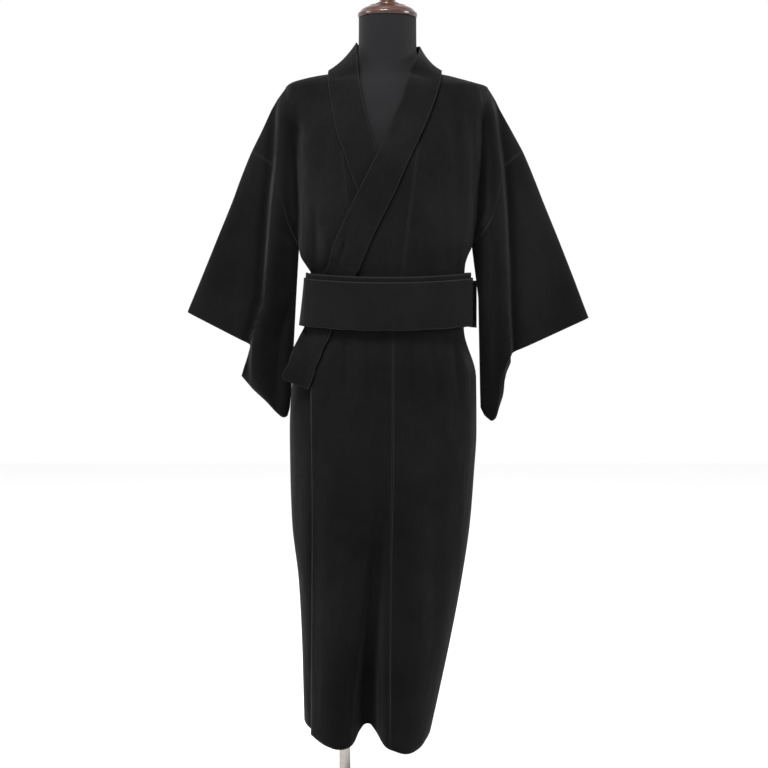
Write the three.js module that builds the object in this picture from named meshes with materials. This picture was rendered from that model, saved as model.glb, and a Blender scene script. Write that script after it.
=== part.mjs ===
import * as THREE from 'three';

// A men's cotton yukata, closed left over right and tied with a flat obi, on a limbless dress form.
// Millimetres. +X is the wearer's left, -Y the front and +Z up. The origin is on the floor.

// ---- Driving dimensions -------------------------------------------------------------------------

const WALL = 1.6;                // body, overlap and sleeve panels
const COLLAR_WALL = 3;           // the collar is folded double round its stay
const OBI_WALL = 2.4;            // the obi is folded and stiff
const SEAM_GAP = 0.4;            // each side of a seam between two panels
const SLEEVE_GAP = 2.4;          // between the body and the sleeve, where the cloth is folded

const WAIST = 1035;              // height where the skirt of a panel passes into its bodice
const UNDERARM = 1085;           // lower end of the seam between sleeve and body
const SQUARENESS = 2.3;          // exponent of the body's sections: 2 is an ellipse

// How far each layer of the front lies outside the body panels.
const UNDER_COLLAR_LIFT = 3.4;
const OVER_PANEL_LIFT = 8;
const OVER_COLLAR_LIFT = 12;
const OBI_INNER_LIFT = { front: 17.8, back: 5.2 };
const OBI_OUTER_LIFT = { front: 21.6, back: 8.8 };

const OBI_WIDTH = 92;
const OBI_BOTTOM = 922;          // at the centre front
const OBI_STEP = 10;             // the inner turn shows this much above the outer one
const OBI_SMILE = 9;             // both turns rise this much towards the sides
const OBI_HUG = 9;               // the top edge lies this much closer at the right side
const OBI_MIDDLE = 970;          // height at which the knot and its free end lie on the robe
const KNOT = { bottom: 932, height: 118, lean: 14 };
const TAIL = { rise: 5, fromAngle: 2.72, toAngle: 1.62, fromLift: 15, toLift: 25 };

const FORM_BOTTOM = 690;
const NECK_TOP = 1524;
const NECK_RADIUS = 55.5;
const CAP_HEIGHT = 23;
const POLE_X = -84;
const POLE_RADIUS = 11;
const POLE_COLLAR_HEIGHT = 30;
const BASE_RADIUS = 190;
const BASE_HEIGHT = 10;

// Sections of the worn robe: distance from the middle to each side, to the front and to the back.
const BODY = [
  { z: 128, right: 162, left: 82, front: 118, back: 92 },
  { z: 200, right: 164, left: 98, front: 121, back: 96 },
  { z: 313, right: 167, left: 122, front: 124, back: 104 },
  { z: 431, right: 173, left: 144, front: 127, back: 112 },
  { z: 549, right: 186, left: 161, front: 129, back: 119 },
  { z: 640, right: 189, left: 168, front: 130, back: 124 },
  { z: 726, right: 190, left: 173, front: 131, back: 126 },
  { z: 830, right: 184, left: 172, front: 129, back: 124 },
  { z: 925, right: 150, left: 148, front: 121, back: 110 },
  { z: 1030, right: 148, left: 149, front: 119, back: 104 },
  { z: 1046, right: 157, left: 150, front: 123, back: 106 },
  { z: 1064, right: 168, left: 155, front: 127, back: 108 },
  { z: 1085, right: 172, left: 164, front: 130, back: 110 },
  { z: 1200, right: 177, left: 177, front: 132, back: 117 },
  { z: 1300, right: 188, left: 187, front: 122, back: 116 },
  { z: 1362, right: 195, left: 193, front: 102, back: 105 },
  { z: 1389, right: 196, left: 193, front: 88, back: 94 },
  { z: 1397, right: 187, left: 170, front: 79, back: 85 },
  { z: 1404, right: 165, left: 145, front: 69, back: 79 },
  { z: 1410, right: 138, left: 123, front: 57, back: 74 },
  { z: 1414, right: 112, left: 104, front: 47, back: 70 },
  { z: 1420, right: 84, left: 82, front: 35, back: 66 },
];

// Outer fold of the robe, seen from the front: over the shoulder and down the top of each sleeve.
const FOLD = [
  { z: 700, right: 488, left: 488 },
  { z: 960, right: 390, left: 384 },
  { z: 1019, right: 362.5, left: 362.5 },
  { z: 1096, right: 331, left: 332 },
  { z: 1174, right: 299, left: 300 },
  { z: 1212, right: 285, left: 285 },
  { z: 1268, right: 262, left: 261 },
  { z: 1308, right: 242, left: 239 },
  { z: 1347, right: 224, left: 217 },
  { z: 1366, right: 213, left: 208 },
  { z: 1389, right: 196, left: 193 },
  { z: 1397, right: 187, left: 170 },
  { z: 1404, right: 165, left: 145 },
  { z: 1410, right: 138, left: 123 },
  { z: 1414, right: 112, left: 104 },
  { z: 1420, right: 84, left: 82 },
];

// Seam between body and sleeve, seen from the front.
const SLEEVE_SEAM = [
  { z: 1085, right: 172, left: 164 },
  { z: 1120, right: 188, left: 190 },
  { z: 1155, right: 199, left: 206 },
  { z: 1180, right: 208, left: 213 },
  { z: 1215, right: 214, left: 219 },
  { z: 1236, right: 219, left: 224 },
  { z: 1252, right: 238, left: 241 },
  { z: 1268, right: 262, left: 261 },
];

// Standing fold down the front and the back of each sleeve, out from the middle.
const SLEEVE_RIDGE = [
  { z: 745, right: 262, left: 240 },
  { z: 895, right: 256, left: 232 },
  { z: 984, right: 232, left: 227 },
  { z: 1068, right: 226, left: 224 },
  { z: 1153, right: 220, left: 220 },
  { z: 1233, right: 211, left: 214 },
  { z: 1295, right: 207, left: 206 },
  { z: 1363, right: 203, left: 197 },
  { z: 1389, right: 190, left: 187 },
];

// The dark fold where the chest passes into the cloth that hangs from the shoulder.
const ARMPIT_FOLD = [
  { z: 1041, right: 152, left: 136 },
  { z: 1085, right: 163, left: 152 },
  { z: 1153, right: 170, left: 186 },
  { z: 1233, right: 176, left: 188 },
  { z: 1324, right: 171, left: 184 },
];

// Seam between each body panel and its overlap panel, and the overlap's free or collar edge.
const FRONT_SEAMS = [
  { z: 120, rightSeam: -60, rightEdge: 34, leftSeam: 7, leftEdge: -141 },
  { z: 500, rightSeam: -57, rightEdge: 84, leftSeam: 9, leftEdge: -141 },
  { z: 800, rightSeam: -56, rightEdge: 97, leftSeam: 10, leftEdge: -141 },
  { z: 835, rightSeam: -56, rightEdge: 94, leftSeam: 10, leftEdge: -142 },
  { z: 924, rightSeam: -56, rightEdge: 70, leftSeam: 11, leftEdge: -109 },
  { z: 1023, rightSeam: -69, rightEdge: 26, leftSeam: 26, leftEdge: -71 },
  { z: 1109, rightSeam: -74, rightEdge: -18, leftSeam: 36, leftEdge: -34 },
  { z: 1178, rightSeam: -79, rightEdge: -42, leftSeam: 45, leftEdge: 0 },
  { z: 1262, rightSeam: -87, rightEdge: -73, leftSeam: 56, leftEdge: 36 },
  { z: 1330, rightSeam: -94, rightEdge: -94, leftSeam: 69, leftEdge: 69 },
  { z: 1380, rightSeam: -100, rightEdge: -100, leftSeam: 86, leftEdge: 86 },
  { z: 1420, rightSeam: -84, rightEdge: -84, leftSeam: 82, leftEdge: 82 },
];
const OVERLAP_TOP = 1262;        // where each overlap panel runs out under the collar
const SEAM_TOP = SLEEVE_SEAM[SLEEVE_SEAM.length - 1];

// The inverted pleat in the middle of the skirt: nearly shut above and open at the hem.
const PLEAT_SHUT = { z: 640, x: -12, halfWidth: 16 };
const PLEAT_OPEN = { z: 150, x: -40, halfWidth: 34 };
const PLEAT_DEPTH = { deepest: 62, from: 110, to: 680 };

// Broad folds that fill out the skirt on both sides of the pleat and behind.
const SKIRT_WAVE = { height: 5, from: 250, to: 880 };
const FRONT_WAVE = { crest: 30, spread: 19 };
const BACK_WAVE = { crest: -45, spread: 24 };

// The sleeve's half thickness, the fold that stands on its ridge line and the troughs beside it.
const SLEEVE_HALF_DEPTH = 12;
const RIDGE_FOLDS = [
  { from: 0, height: 30, width: 15 },
  { from: 27, height: -12, width: 12 },
  { from: -27, height: -14, width: 12 },
];
const ARMPIT_DEPTH = { deepest: 16, width: 11 };

// Sleeve corners seen from the front: the cuff from its fold down to the lower corner, and the
// bottom from the underarm down beside the body, round the hanging tip and out to that corner.
const SLEEVE = {
  right: {
    cuff: [[390, 960], [263, 893], [284, 832]],
    bottom: [[172, 1085], [178, 985], [189, 800], [198, 750], [235, 783], [284, 832]],
  },
  left: {
    cuff: [[390, 945], [234, 880], [240, 848]],
    bottom: [[164, 1085], [177, 985], [182, 780], [206, 744], [224, 800], [240, 848]],
  },
};

// Collar stations from the left (upper) end to the right (under) one. The outer edge is sewn to the
// panels and the inner edge is the fold. A station without y values lies on the robe's front.
const COLLAR = [
  { ox: -142, oz: 809, ix: -196, iz: 830, lift: OVER_COLLAR_LIFT },
  { ox: -125, oz: 855, ix: -174, iz: 877, lift: OVER_COLLAR_LIFT },
  { ox: -97, oz: 924, ix: -143, iz: 940, lift: OVER_COLLAR_LIFT },
  { ox: -59, oz: 1023, ix: -113, iz: 1043, lift: OVER_COLLAR_LIFT },
  { ox: -22, oz: 1109, ix: -76, iz: 1137, lift: OVER_COLLAR_LIFT },
  { ox: 12, oz: 1178, ix: -44, iz: 1204, lift: OVER_COLLAR_LIFT },
  { ox: 39, oz: 1240, ix: -12, iz: 1268, lift: OVER_COLLAR_LIFT },
  { ox: 57, oz: 1279, ix: 3, iz: 1304, lift: 10.5 },
  { ox: 82, oz: 1337, ix: 25, iz: 1356, lift: 6 },
  { ox: 98, oz: 1386, ix: 40, iz: 1406, lift: 6 },
  { ox: 103, oy: -50, oz: 1413, ix: 50, iy: -66, iz: 1432 },
  { ox: 102, oy: 0, oz: 1421, ix: 62, iy: -6, iz: 1464 },
  { ox: 88, oy: 50, oz: 1418, ix: 58, iy: 36, iz: 1473 },
  { ox: 50, oy: 80, oz: 1409, ix: 36, iy: 62, iz: 1471 },
  { ox: 0, oy: 91, oz: 1404, ix: 0, iy: 71, iz: 1468 },
  { ox: -50, oy: 80, oz: 1409, ix: -36, iy: 62, iz: 1471 },
  { ox: -92, oy: 50, oz: 1418, ix: -57, iy: 36, iz: 1477 },
  { ox: -110, oy: 0, oz: 1422, ix: -59, iy: -6, iz: 1474 },
  { ox: -113, oy: -48, oz: 1413, ix: -57, iy: -62, iz: 1434 },
  { ox: -112, oz: 1388, ix: -54, iz: 1402, lift: 5 },
  { ox: -107, oz: 1355, ix: -48, iz: 1366, lift: 4.5 },
  { ox: -93, oz: 1287, ix: -33, iz: 1304, lift: UNDER_COLLAR_LIFT },
  { ox: -80, oz: 1251, ix: -22, iz: 1270, lift: UNDER_COLLAR_LIFT },
  { ox: -61, oz: 1195, ix: -6, iz: 1219, lift: UNDER_COLLAR_LIFT },
  { ox: -30, oz: 1112, ix: 24, iz: 1138, lift: UNDER_COLLAR_LIFT },
  { ox: 8, oz: 1035, ix: 60, iz: 1062, lift: UNDER_COLLAR_LIFT },
  { ox: 38, oz: 958, ix: 92, iz: 978, lift: UNDER_COLLAR_LIFT },
];

// Sections of the dress form, symmetric about its middle.
const FORM = [
  { z: FORM_BOTTOM, half: 136, front: 86, back: 94 },
  { z: 780, half: 156, front: 98, back: 106 },
  { z: 860, half: 150, front: 98, back: 102 },
  { z: 975, half: 137, front: 102, back: 92 },
  { z: 1085, half: 150, front: 114, back: 98 },
  { z: 1200, half: 165, front: 120, back: 106 },
  { z: 1300, half: 174, front: 108, back: 104 },
  { z: 1352, half: 174, front: 90, back: 94 },
  { z: 1374, half: 168, front: 80, back: 86 },
  { z: 1385, half: 154, front: 74, back: 80 },
  { z: 1393, half: 134, front: 70, back: 75 },
  { z: 1400, half: 112, front: 66, back: 70 },
  { z: 1407, half: 92, front: 63, back: 66 },
  { z: 1417, half: 74, front: 60, back: 61 },
  { z: 1436, half: 61, front: 57, back: 58 },
  { z: 1465, half: 56, front: 55.6, back: 56 },
  { z: NECK_TOP, half: NECK_RADIUS, front: NECK_RADIUS, back: NECK_RADIUS },
];
const FORM_RING = 40;            // sides of each section of the form

// ---- Colours ------------------------------------------------------------------------------------

const COTTON = new THREE.MeshStandardMaterial({ color: 0x1b1b1e, roughness: 0.85, metalness: 0 });
const OBI_CLOTH = new THREE.MeshStandardMaterial({ color: 0x19191b, roughness: 0.8, metalness: 0 });
const JERSEY = new THREE.MeshStandardMaterial({ color: 0x202022, roughness: 0.9, metalness: 0 });
const TURNED_WOOD = new THREE.MeshStandardMaterial({ color: 0x24140d, roughness: 0.25, metalness: 0 });
const CHROME = new THREE.MeshStandardMaterial({ color: 0xb9b4ac, roughness: 0.2, metalness: 1 });

// ---- Small tools --------------------------------------------------------------------------------

const mix = (a, b, t) => a + (b - a) * t;
const clamp01 = (t) => Math.min(1, Math.max(0, t));
const steps = (count) => Array.from({ length: count + 1 }, (unused, i) => i / count);

// Bell of height 1 about zero.
const bump = (distance, width) => Math.exp(-Math.pow(distance / width, 2));

function smooth(from, to, value) {
  const t = clamp01((value - from) / (to - from));
  return t * t * (3 - 2 * t);
}

// Quarter circle: 0 at the fold, 1 from one radius inside it.
function rounded(inside) {
  const t = clamp01(inside);
  return Math.sqrt(1 - (1 - t) * (1 - t));
}

// Reads one column of a table at a height, by a cubic that never overshoots its rows.
function read(table, column, z) {
  const last = table.length - 1;
  if (z <= table[0].z) return table[0][column];
  if (z >= table[last].z) return table[last][column];
  let i = 0;
  while (table[i + 1].z < z) i += 1;
  const slope = (k) => (table[k + 1][column] - table[k][column]) / (table[k + 1].z - table[k].z);
  const tangent = (k) => {
    if (k === 0) return slope(0);
    if (k === last) return slope(last - 1);
    const [before, after] = [slope(k - 1), slope(k)];
    return before * after <= 0 ? 0 : (2 * before * after) / (before + after);
  };
  const span = table[i + 1].z - table[i].z;
  const t = (z - table[i].z) / span;
  const bend = t * t * (3 - 2 * t);
  return mix(table[i][column], table[i + 1][column], bend)
    + span * t * (1 - t) * ((1 - t) * tangent(i) - t * tangent(i + 1));
}

// A point at a share of the way along a chain of [out, height] corners.
function alongChain(corners, share) {
  const lengths = corners.slice(1).map((p, i) => Math.hypot(p[0] - corners[i][0], p[1] - corners[i][1]));
  let left = share * lengths.reduce((sum, length) => sum + length, 0);
  let i = 0;
  while (i < lengths.length - 1 && left > lengths[i]) {
    left -= lengths[i];
    i += 1;
  }
  const t = Math.min(1, left / lengths[i]);
  return [mix(corners[i][0], corners[i + 1][0], t), mix(corners[i][1], corners[i + 1][1], t)];
}

// ---- The worn robe as a surface -----------------------------------------------------------------

const sideOf = (x) => (x < 0 ? 'right' : 'left');

function section(z) {
  const right = read(BODY, 'right', z);
  const left = read(BODY, 'left', z);
  return {
    middle: (left - right) / 2,
    half: (left + right) / 2,
    front: read(BODY, 'front', z),
    back: read(BODY, 'back', z),
  };
}

// How far the pleat goes in.
function pleat(x, z) {
  const opening = 1 - smooth(PLEAT_OPEN.z, PLEAT_SHUT.z, z);
  const middle = mix(PLEAT_SHUT.x, PLEAT_OPEN.x, opening);
  const halfWidth = mix(PLEAT_SHUT.halfWidth, PLEAT_OPEN.halfWidth, opening);
  const { deepest, from, to } = PLEAT_DEPTH;
  return deepest * Math.pow(1 - smooth(from, to, z), 1.2) * Math.exp(-Math.pow((x - middle) / halfWidth, 4));
}

function skirtWaves(x, z, isFront) {
  const { height, from, to } = SKIRT_WAVE;
  const { crest, spread } = isFront ? FRONT_WAVE : BACK_WAVE;
  return height * (1 - smooth(from, to, z)) * Math.cos((x - crest) / spread);
}

// Cloth that hangs from the shoulder and makes the sleeve: its depth before the body adds to it.
function hangingDepth(x, z, isFront) {
  const side = sideOf(x);
  const out = Math.abs(x);
  const inside = read(FOLD, side, z) - out;
  const ridge = out - read(SLEEVE_RIDGE, side, z);
  const fade = 1 - smooth(1330, 1392, z);
  const flare = mix(0.2, 0.3, smooth(1100, 1300, z));
  const panel = SLEEVE_HALF_DEPTH + Math.min(inside, 130) * flare * (isFront ? 1 : 0.8);
  const folds = RIDGE_FOLDS.reduce((sum, row) => sum + row.height * bump(ridge - row.from, row.width), 0);
  return (panel + folds * fade) * rounded(inside / 20);
}

// Depth of the robe in front of or behind the plane of its outer folds.
function depth(x, z, isFront) {
  const { middle, half, front, back } = section(z);
  const across = clamp01(Math.abs(x - middle) / half);
  const bodyDepth = (isFront ? front : back) * Math.pow(1 - Math.pow(across, SQUARENESS), 1 / SQUARENESS);
  if (z <= UNDERARM) {
    const room = rounded((1 - across) / 0.35);
    const skirt = isFront ? pleat(x, z) - skirtWaves(x, z, true) : -skirtWaves(x, z, false);
    return bodyDepth - skirt * room;
  }
  const side = sideOf(x);
  const seamEnd = Math.hypot(Math.abs(x) - read(BODY, side, UNDERARM), z - UNDERARM);
  const hanging = hangingDepth(x, z, isFront) * rounded(seamEnd / 60);
  const joined = Math.pow(Math.pow(bodyDepth, 5) + Math.pow(hanging, 5), 1 / 5);
  const fromArmpit = Math.abs(x) - read(ARMPIT_FOLD, side, z);
  const armpit = ARMPIT_DEPTH.deepest * bump(fromArmpit, ARMPIT_DEPTH.width)
    * smooth(UNDERARM, 1150, z) * (1 - smooth(1290, 1370, z));
  return Math.max(0, joined - armpit * rounded((read(FOLD, side, z) - Math.abs(x)) / 40));
}

// A point on the robe's front or back at a front-view place, moved out along the surface normal.
function onRobe(x, z, isFront, lift = 0) {
  const facing = isFront ? -1 : 1;
  const at = new THREE.Vector3(x, facing * depth(x, z, isFront), z);
  if (lift === 0) return at;
  const aside = 1.5;
  const alongX = (depth(x + aside, z, isFront) - depth(x - aside, z, isFront)) / (2 * aside);
  const alongZ = (depth(x, z + aside, isFront) - depth(x, z - aside, isFront)) / (2 * aside);
  const normal = new THREE.Vector3(-alongX, facing, -alongZ).normalize();
  return at.addScaledVector(normal, lift);
}

// A point on the section at a height. Angle 0 is the middle of the front, + turns to the left side.
function onRing(angle, z, lift = 0) {
  const { middle, half } = section(z);
  const place = (a) => {
    const s = Math.sin(a);
    const x = middle + half * Math.sign(s) * Math.pow(Math.abs(s), 2 / SQUARENESS);
    const isFront = Math.cos(a) >= 0;
    return new THREE.Vector3(x, (isFront ? -1 : 1) * depth(x, z, isFront), z);
  };
  const at = place(angle);
  if (lift === 0) return at;
  const along = place(angle + 0.02).sub(place(angle - 0.02));
  return at.addScaledVector(new THREE.Vector3(along.y, -along.x, 0).normalize(), lift);
}

function angleAt(x, z) {
  const { middle, half } = section(z);
  const across = Math.min(1, Math.abs(x - middle) / half);
  return Math.sign(x - middle) * Math.asin(Math.pow(across, SQUARENESS / 2));
}

// The upper (left) front lies over the under (right) front and its collar, and meets the body's
// own section again at the left side and up on the chest.
function overLift(x, z) {
  const toSide = 1 - smooth(0.8, 1.5, angleAt(x, z));
  return OVER_PANEL_LIFT * toSide * (1 - smooth(1240, 1340, z));
}

// The under front hangs a little inside the upper one towards the hem.
function underLift(x, z) {
  const fromSide = smooth(-1.3, -0.75, angleAt(x, z));
  return -9 * fromSide * (1 - smooth(300, 860, z));
}

// The hem is lowest on the two lobes of the front and rises at the sides and in the pleat.
function hemHeight(x, isFront) {
  const { middle, half } = section(BODY[0].z);
  if (!isFront) return 128 + 26 * Math.pow(Math.min(1, Math.abs(x - middle) / half), 4);
  const fromLobe = Math.min(Math.abs(x + 85) / 64, Math.abs(x - 36) / 45, 1);
  return 118 + 36 * fromLobe * fromLobe;
}

// Height of a skirt point once the level rows are drawn down to the uneven hem.
function hung(level, x, isFront) {
  const share = clamp01((level - BODY[0].z) / (WAIST - BODY[0].z));
  return mix(hemHeight(x, isFront), WAIST, share);
}

// ---- Walls --------------------------------------------------------------------------------------

// Makes a closed wall of even thickness from rows of points. A ring's rows close on themselves.
function wall(rows, thickness, isRing = false) {
  const rowCount = rows.length;
  const columnCount = rows[0].length;
  const at = (j, i) => {
    const column = isRing ? (i + columnCount) % columnCount : Math.min(columnCount - 1, Math.max(0, i));
    return rows[Math.min(rowCount - 1, Math.max(0, j))][column];
  };
  const positions = [];
  for (const face of [1, -1]) {
    for (let j = 0; j < rowCount; j += 1) {
      for (let i = 0; i < columnCount; i += 1) {
        const across = at(j, i + 1).clone().sub(at(j, i - 1));
        const along = at(j + 1, i).clone().sub(at(j - 1, i));
        const normal = across.cross(along).normalize();
        positions.push(...at(j, i).clone().addScaledVector(normal, (face * thickness) / 2).toArray());
      }
    }
  }
  const back = rowCount * columnCount;
  const index = (j, i) => j * columnCount + (i % columnCount);
  const triangles = [];
  const quad = (a, b, c, d) => triangles.push(a, b, c, a, c, d);
  const columnSteps = isRing ? columnCount : columnCount - 1;
  for (let j = 0; j < rowCount - 1; j += 1) {
    for (let i = 0; i < columnSteps; i += 1) {
      const [a, b, c, d] = [index(j, i), index(j, i + 1), index(j + 1, i + 1), index(j + 1, i)];
      quad(a, b, c, d);
      quad(a + back, d + back, c + back, b + back);
    }
  }
  const rim = (a, b) => quad(b, a, a + back, b + back);
  for (let i = 0; i < columnSteps; i += 1) {
    rim(index(0, i), index(0, i + 1));
    rim(index(rowCount - 1, i + 1), index(rowCount - 1, i));
  }
  if (!isRing) {
    for (let j = 0; j < rowCount - 1; j += 1) {
      rim(index(j + 1, 0), index(j, 0));
      rim(index(j, columnCount - 1), index(j + 1, columnCount - 1));
    }
  }
  return geometryOf(positions, triangles);
}

function geometryOf(positions, triangles) {
  const geometry = new THREE.BufferGeometry();
  geometry.setAttribute('position', new THREE.Float32BufferAttribute(positions, 3));
  geometry.setIndex(triangles);
  geometry.computeVertexNormals();
  return geometry;
}

// Joins closed rings of points, bottom to top, into one solid with a flat lid at each end.
function loft(rings) {
  const sides = rings[0].length;
  const positions = rings.flat().flatMap((p) => p.toArray());
  const triangles = [];
  for (let j = 0; j < rings.length - 1; j += 1) {
    for (let i = 0; i < sides; i += 1) {
      const [a, b] = [j * sides + i, j * sides + ((i + 1) % sides)];
      triangles.push(a, b, b + sides, a, b + sides, a + sides);
    }
  }
  const lid = (j, isTop) => {
    const centre = positions.length / 3;
    const middle = rings[j].reduce((sum, p) => sum.add(p), new THREE.Vector3()).divideScalar(sides);
    positions.push(...middle.toArray());
    for (let i = 0; i < sides; i += 1) {
      const [a, b] = [j * sides + i, j * sides + ((i + 1) % sides)];
      triangles.push(centre, isTop ? a : b, isTop ? b : a);
    }
  };
  lid(0, false);
  lid(rings.length - 1, true);
  return geometryOf(positions, triangles);
}

// A turned solid round an upright axis, from [radius, height] points that start and end on it.
function turned(profile, sides = 40) {
  const points = profile.map(([radius, height]) => new THREE.Vector2(radius, height));
  return new THREE.LatheGeometry(points, sides).rotateX(Math.PI / 2);
}

// ---- Body panels --------------------------------------------------------------------------------

// Rows of the skirt: closer together where it comes in under the obi.
const SKIRT_HEIGHTS = [128, 215, 305, 395, 485, 575, 660, 740, 805, 855, 895, 930, 985];
const LOWER_BODICE_ROWS = 2;
const SEAM_ROWS = 12;
const PANEL_COLUMNS = 10;

// Share of a bodice panel's outer edge that lies below the sleeve seam.
const SEAM_START = (UNDERARM - WAIST) / (SEAM_TOP.z - WAIST);

// Heights, as shares of the way up, at which sleeve and body share their seam's points.
const seamShares = steps(SEAM_ROWS).map((t) => (1 - Math.cos(t * Math.PI)) / 2);

// Top of the panel, where it passes over the shoulder: from the neck to the top of the sleeve seam.
function shoulderPoint(side, share) {
  const line = FOLD.filter((row) => row.z >= SEAM_TOP.z).reverse().map((row) => [row[side], row.z]);
  const [out, z] = alongChain(line, share);
  return { out, z };
}

// Front-view place of a bodice point. Across runs from the inner edge to the sleeve, rise from the
// waist to the shoulder.
function bodicePlace(side, isFront, across, rise) {
  const sign = side === 'right' ? -1 : 1;
  const top = FOLD[FOLD.length - 1];
  const innerZ = mix(WAIST, isFront ? top.z : 1412, rise);
  const backNeck = smooth(0.93, 1, rise);
  const innerX = isFront
    ? sign * read(FRONT_SEAMS, `${side}Seam`, innerZ)
    : mix(sign * section(innerZ).middle + SEAM_GAP / 2, top[side], backNeck);
  const outerZ = mix(WAIST, SEAM_TOP.z, rise);
  const outerX = rise < SEAM_START ? read(BODY, side, outerZ) : read(SLEEVE_SEAM, side, outerZ);
  const topPoint = shoulderPoint(side, across);
  const neck = shoulderPoint(side, 0);
  const armTop = shoulderPoint(side, 1);
  const pull = rise * rise;
  const startZ = isFront ? innerZ : mix(innerZ, top.z, backNeck);
  return {
    x: sign * (mix(innerX, outerX, across) + pull * (topPoint.out - mix(neck.out, armTop.out, across))),
    z: mix(startZ, outerZ, across) + pull * (topPoint.z - mix(neck.z, armTop.z, across)),
  };
}

function bodyPanel(side) {
  const sign = side === 'right' ? -1 : 1;
  const lift = (x, z) => (side === 'right' ? underLift(x, z) : overLift(x, z));
  const rises = [
    ...steps(LOWER_BODICE_ROWS).slice(0, -1).map((t) => t * SEAM_START),
    ...seamShares.map((share) => mix(SEAM_START, 1, share)),
  ];
  const waistAngle = (isFront) => (isFront
    ? Math.abs(angleAt(read(FRONT_SEAMS, `${side}Seam`, WAIST), WAIST))
    : Math.PI);
  const sideAngle = Math.PI / 2;
  const columns = steps(PANEL_COLUMNS);
  const shareAt = (isFront, w) => {
    const inner = waistAngle(isFront);
    const placeOf = (angle) => Math.pow(Math.abs(Math.sin(angle)), 2 / SQUARENESS);
    const turn = isFront ? mix(inner, sideAngle, w) : mix(Math.PI, sideAngle, w);
    return (placeOf(turn) - placeOf(inner)) / (1 - placeOf(inner));
  };
  const skirtRow = (isFront, level) => columns.map((w) => {
    const seamX = read(FRONT_SEAMS, `${side}Seam`, level) + sign * SEAM_GAP;
    const edge = SEAM_GAP / section(level).half;
    const outer = sign * (sideAngle + (isFront ? -edge : edge) / 2);
    const turnAt = (z) => mix(isFront ? angleAt(seamX, z) : sign * (Math.PI - edge / 2), outer, w);
    const z = hung(level, onRing(turnAt(level), level).x, isFront);
    const angle = turnAt(z);
    return onRing(angle, z, isFront ? lift(onRing(angle, z).x, z) : 0);
  });
  const bodiceRow = (isFront, rise) => columns.map((w) => {
    const { x, z } = bodicePlace(side, isFront, shareAt(isFront, w), rise);
    if (rise === 1) return new THREE.Vector3(x, 0, z);
    const shift = w === 0 && isFront ? sign * SEAM_GAP : 0;
    const isSideEdge = w === 1 && z <= UNDERARM + 0.01;
    if (isSideEdge) return new THREE.Vector3(x, (isFront ? -1 : 1) * SEAM_GAP, z);
    return onRobe(x + shift, z, isFront, isFront && side === 'left' ? overLift(x, z) : 0);
  });
  const rows = [
    ...SKIRT_HEIGHTS.map((level) => skirtRow(true, level)),
    ...rises.map((rise) => bodiceRow(true, rise)),
    ...rises.slice(0, -1).reverse().map((rise) => bodiceRow(false, rise)),
    ...SKIRT_HEIGHTS.slice().reverse().map((level) => skirtRow(false, level)),
  ];
  return wall(rows, WALL);
}

// ---- Overlap panels -----------------------------------------------------------------------------

const OVERLAP_BODICE_ROWS = 9;

function overlapPanel(side, columnCount) {
  const sign = side === 'right' ? -1 : 1;
  const bodiceHeights = steps(OVERLAP_BODICE_ROWS).map((t) => mix(WAIST, OVERLAP_TOP, t));
  const levels = [...SKIRT_HEIGHTS, ...bodiceHeights];
  const rows = levels.map((level) => steps(columnCount).map((w) => {
    const seam = read(FRONT_SEAMS, `${side}Seam`, level) - sign * SEAM_GAP;
    const x = mix(seam, read(FRONT_SEAMS, `${side}Edge`, level), w);
    const z = level < WAIST ? hung(level, x, true) : level;
    return onRobe(x, z, true, side === 'right' ? underLift(x, z) : overLift(x, z));
  }));
  return wall(rows, WALL);
}

// ---- Sleeves ------------------------------------------------------------------------------------

const SLEEVE_STATIONS = 10;
const BOTTOM_TIGHTNESS = 6;
const SLEEVE_LEAST_DEPTH = 2.2;  // front and back stay this far from the middle inside the edges

// Front-view place of a sleeve point: along runs from the seam to the cuff, down from the top fold
// to the bottom. Inside, it is a flat patch between the four corners, bent to the cuff's and the
// bottom's own lines. The bottom's bend stays close to the bottom near the cuff.
function sleevePlace(side, along, down) {
  const shape = SLEEVE[side];
  const [cuffTop, underarm, corner] = [shape.cuff[0], shape.bottom[0], shape.cuff[2]];
  const seamZ = mix(SEAM_TOP.z, UNDERARM, down);
  const start = [read(SLEEVE_SEAM, side, seamZ), seamZ];
  const topZ = mix(SEAM_TOP.z, cuffTop[1], along);
  const top = [mix(read(FOLD, side, topZ), cuffTop[0], smooth(0.7, 1, along)), topZ];
  const cuff = alongChain(shape.cuff, down);
  const bottom = alongChain(shape.bottom, along);
  const bottomReach = Math.pow(down, mix(1, BOTTOM_TIGHTNESS, along * along));
  return [0, 1].map((k) => {
    const topCorner = mix([SEAM_TOP[side], SEAM_TOP.z][k], cuffTop[k], along);
    const bottomCorner = mix(underarm[k], corner[k], along);
    const patch = mix(start[k], cuff[k], along);
    return patch + (1 - down) * (top[k] - topCorner) + bottomReach * (bottom[k] - bottomCorner);
  });
}

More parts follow.
